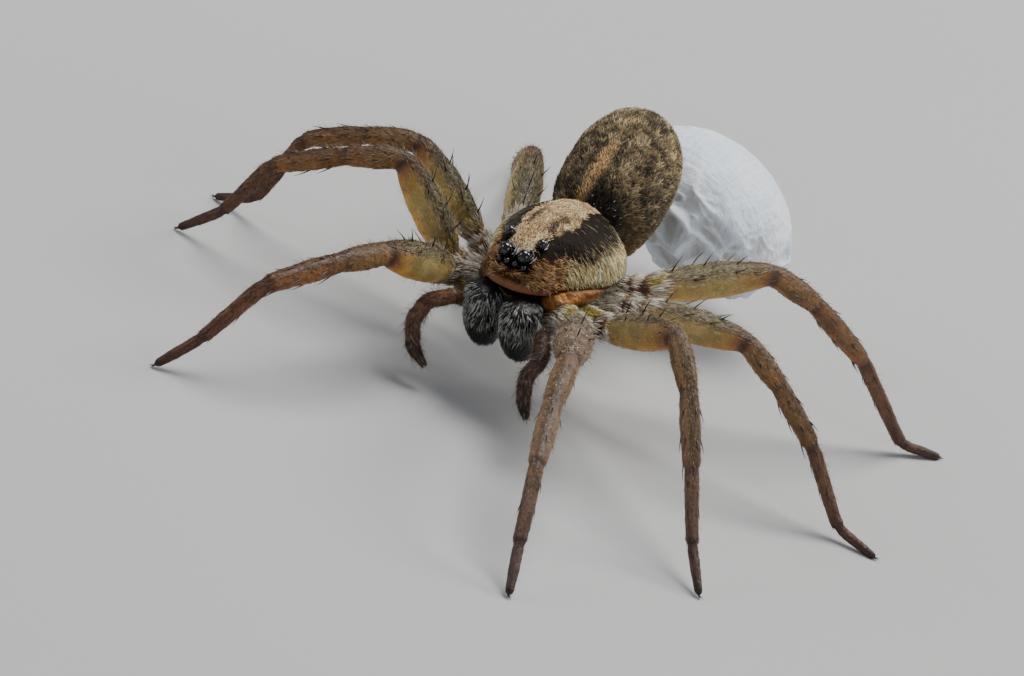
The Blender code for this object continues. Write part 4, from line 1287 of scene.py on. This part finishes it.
def build_palp(label):
    limb = Limb(body(PALPS[label]), lambda stage: np.interp(stage, range(6), PALP_RADII), PALP_CORNER)
    surface = Surface(limb.place, 130, 32, limb.stage_at)
    red = label == "right"

    def paint(s):
        grooves = bell(s.stage - 2.05, 0.10) + bell(s.stage - 1.0, 0.08)
        tone = mix(PALP_RED if red else PALP_BROWN, PALP_DARK, ramp(1.6, 4.2, s.stage))
        return mix(stained(tone, (0.35, grooves)), PALP_TIP, ramp(4.2, 4.9, s.stage))

    def hair_tone(s):
        dark = 0.5 + 0.8 * noise(s.points, 0.14, 81) + 0.4 * ramp(3.0, 4.5, s.stage) + 0.4 * (not red)
        return mix(PALP_HAIR, PALP_HAIR_DARK, dark)

    surface.add(f"palp_skin_{label}", paint, SKIN_LEG, "palp",
                [f"palp_{label}_femur", f"palp_{label}_tarsus"])
    coat = Coat()
    coat.grow(surface, HAIRS["palp"], lambda s: 0.6 + 0.6 * ramp(3.0, 4.5, s.stage), ahead,
              length=0.17, width=0.017, tint=hair_tone, seed=300 + red, bend=16.0, spread=15.0,
              shades=(0.35, 1.2))
    coat.grow(surface, HAIRS["palp_long"], lambda s: s.along > 0.1, ahead, length=0.32, width=0.013,
              tint=PALP_LONG_HAIR, seed=302 + red, lift=50.0)
    coat.add(f"coat_palp_{label}", HAIR_SOFT, "palp")


# --- Light, floor and camera ----------------------------------------------------

CAMERA_AZIMUTH, CAMERA_ELEVATION, CAMERA_ROLL = (math.radians(v) for v in (19.94, 24.53, 24.08))
CAMERA_DISTANCE, CAMERA_LENS, CAMERA_AIM = 167.4, 184.5, (-1.07, -1.00, 1.06)
FLOOR_HALF = 0.6
FLOOR_TONE, SKY_TONE, SKY_STRENGTH = (0.44, 0.44, 0.437), (0.80, 0.87, 1.0, 1.0), 0.30
# (name, place, size, power, colour), in metres and watts.
LIGHTS = (("sky_light", (-0.03, 0.10, 0.30), 0.20, 1.15, (1.0, 0.98, 0.95)),
          ("side_light", (-0.22, -0.16, 0.14), 0.16, 0.20, (0.92, 0.96, 1.0)),
          ("rim_light", (0.12, 0.24, 0.20), 0.12, 0.46, (1.0, 0.97, 0.92)),
          ("fill_light", (0.26, -0.08, 0.13), 0.16, 0.17, (1.0, 0.98, 0.95)))
LIGHTS_AIM = (0.0, 0.0, 0.004)


def aim(obj, right, up, back, place):
    """Turns an object to look against `back`, and puts it in its place in metres."""
    obj.matrix_world = Matrix([[right[k], up[k], back[k], place[k]] for k in range(3)] + [[0, 0, 0, 1]])


def build_camera():
    camera = bpy.data.cameras.new("camera")
    camera.lens, camera.sensor_width = CAMERA_LENS, 36.0
    camera.clip_start, camera.clip_end = 0.001, 10.0
    s, c = math.sin(CAMERA_AZIMUTH), math.cos(CAMERA_AZIMUTH)
    flat = math.cos(CAMERA_ELEVATION)
    back = np.array([s * flat, -c * flat, math.sin(CAMERA_ELEVATION)])
    level = np.array([c, s, 0.0])
    upright = np.cross(back, level)
    right = level * math.cos(CAMERA_ROLL) + upright * math.sin(CAMERA_ROLL)
    up = upright * math.cos(CAMERA_ROLL) - level * math.sin(CAMERA_ROLL)
    obj = linked("camera", camera)
    aim(obj, right, up, back, (CAMERA_AIM + back * CAMERA_DISTANCE) * MM)
    bpy.context.scene.camera = obj


def build_studio():
    mesh = bpy.data.meshes.new("floor")
    corners = [(x * FLOOR_HALF, y * FLOOR_HALF, 0.0) for x, y in ((-1, -1), (1, -1), (1, 1), (-1, 1))]
    mesh.from_pydata(corners, [], [(0, 1, 2, 3)])
    floor = linked("floor", mesh)
    shader = Shader("floor_paper", Roughness=0.85)
    shader.paint(shader.flat(FLOOR_TONE), shader.span(shader.noise(40.0, 2.0), 0.98, 1.02))
    mesh.materials.append(shader.material)
    world = bpy.data.worlds.new("studio")
    world.use_nodes = True
    background = world.node_tree.nodes["Background"].inputs
    background["Color"].default_value = SKY_TONE
    background["Strength"].default_value = SKY_STRENGTH
    bpy.context.scene.world = world
    for name, place, size, power, tone in LIGHTS:
        light = bpy.data.lights.new(name, "AREA")
        light.shape, light.size, light.energy, light.color = "DISK", size, power, tone
        back = unit(np.subtract(place, LIGHTS_AIM))
        right = unit(np.cross((0.0, 0.3, 1.0), back))
        aim(linked(name, light), right, np.cross(back, right), back, place)


build_camera()
build_carapace()
build_eyes()
build_face()
build_abdomen()
build_egg_sac()
for leg_label, leg_number in STANCES:
    build_leg(leg_label, leg_number)
for palp_label in PALPS:
    build_palp(palp_label)
build_studio()
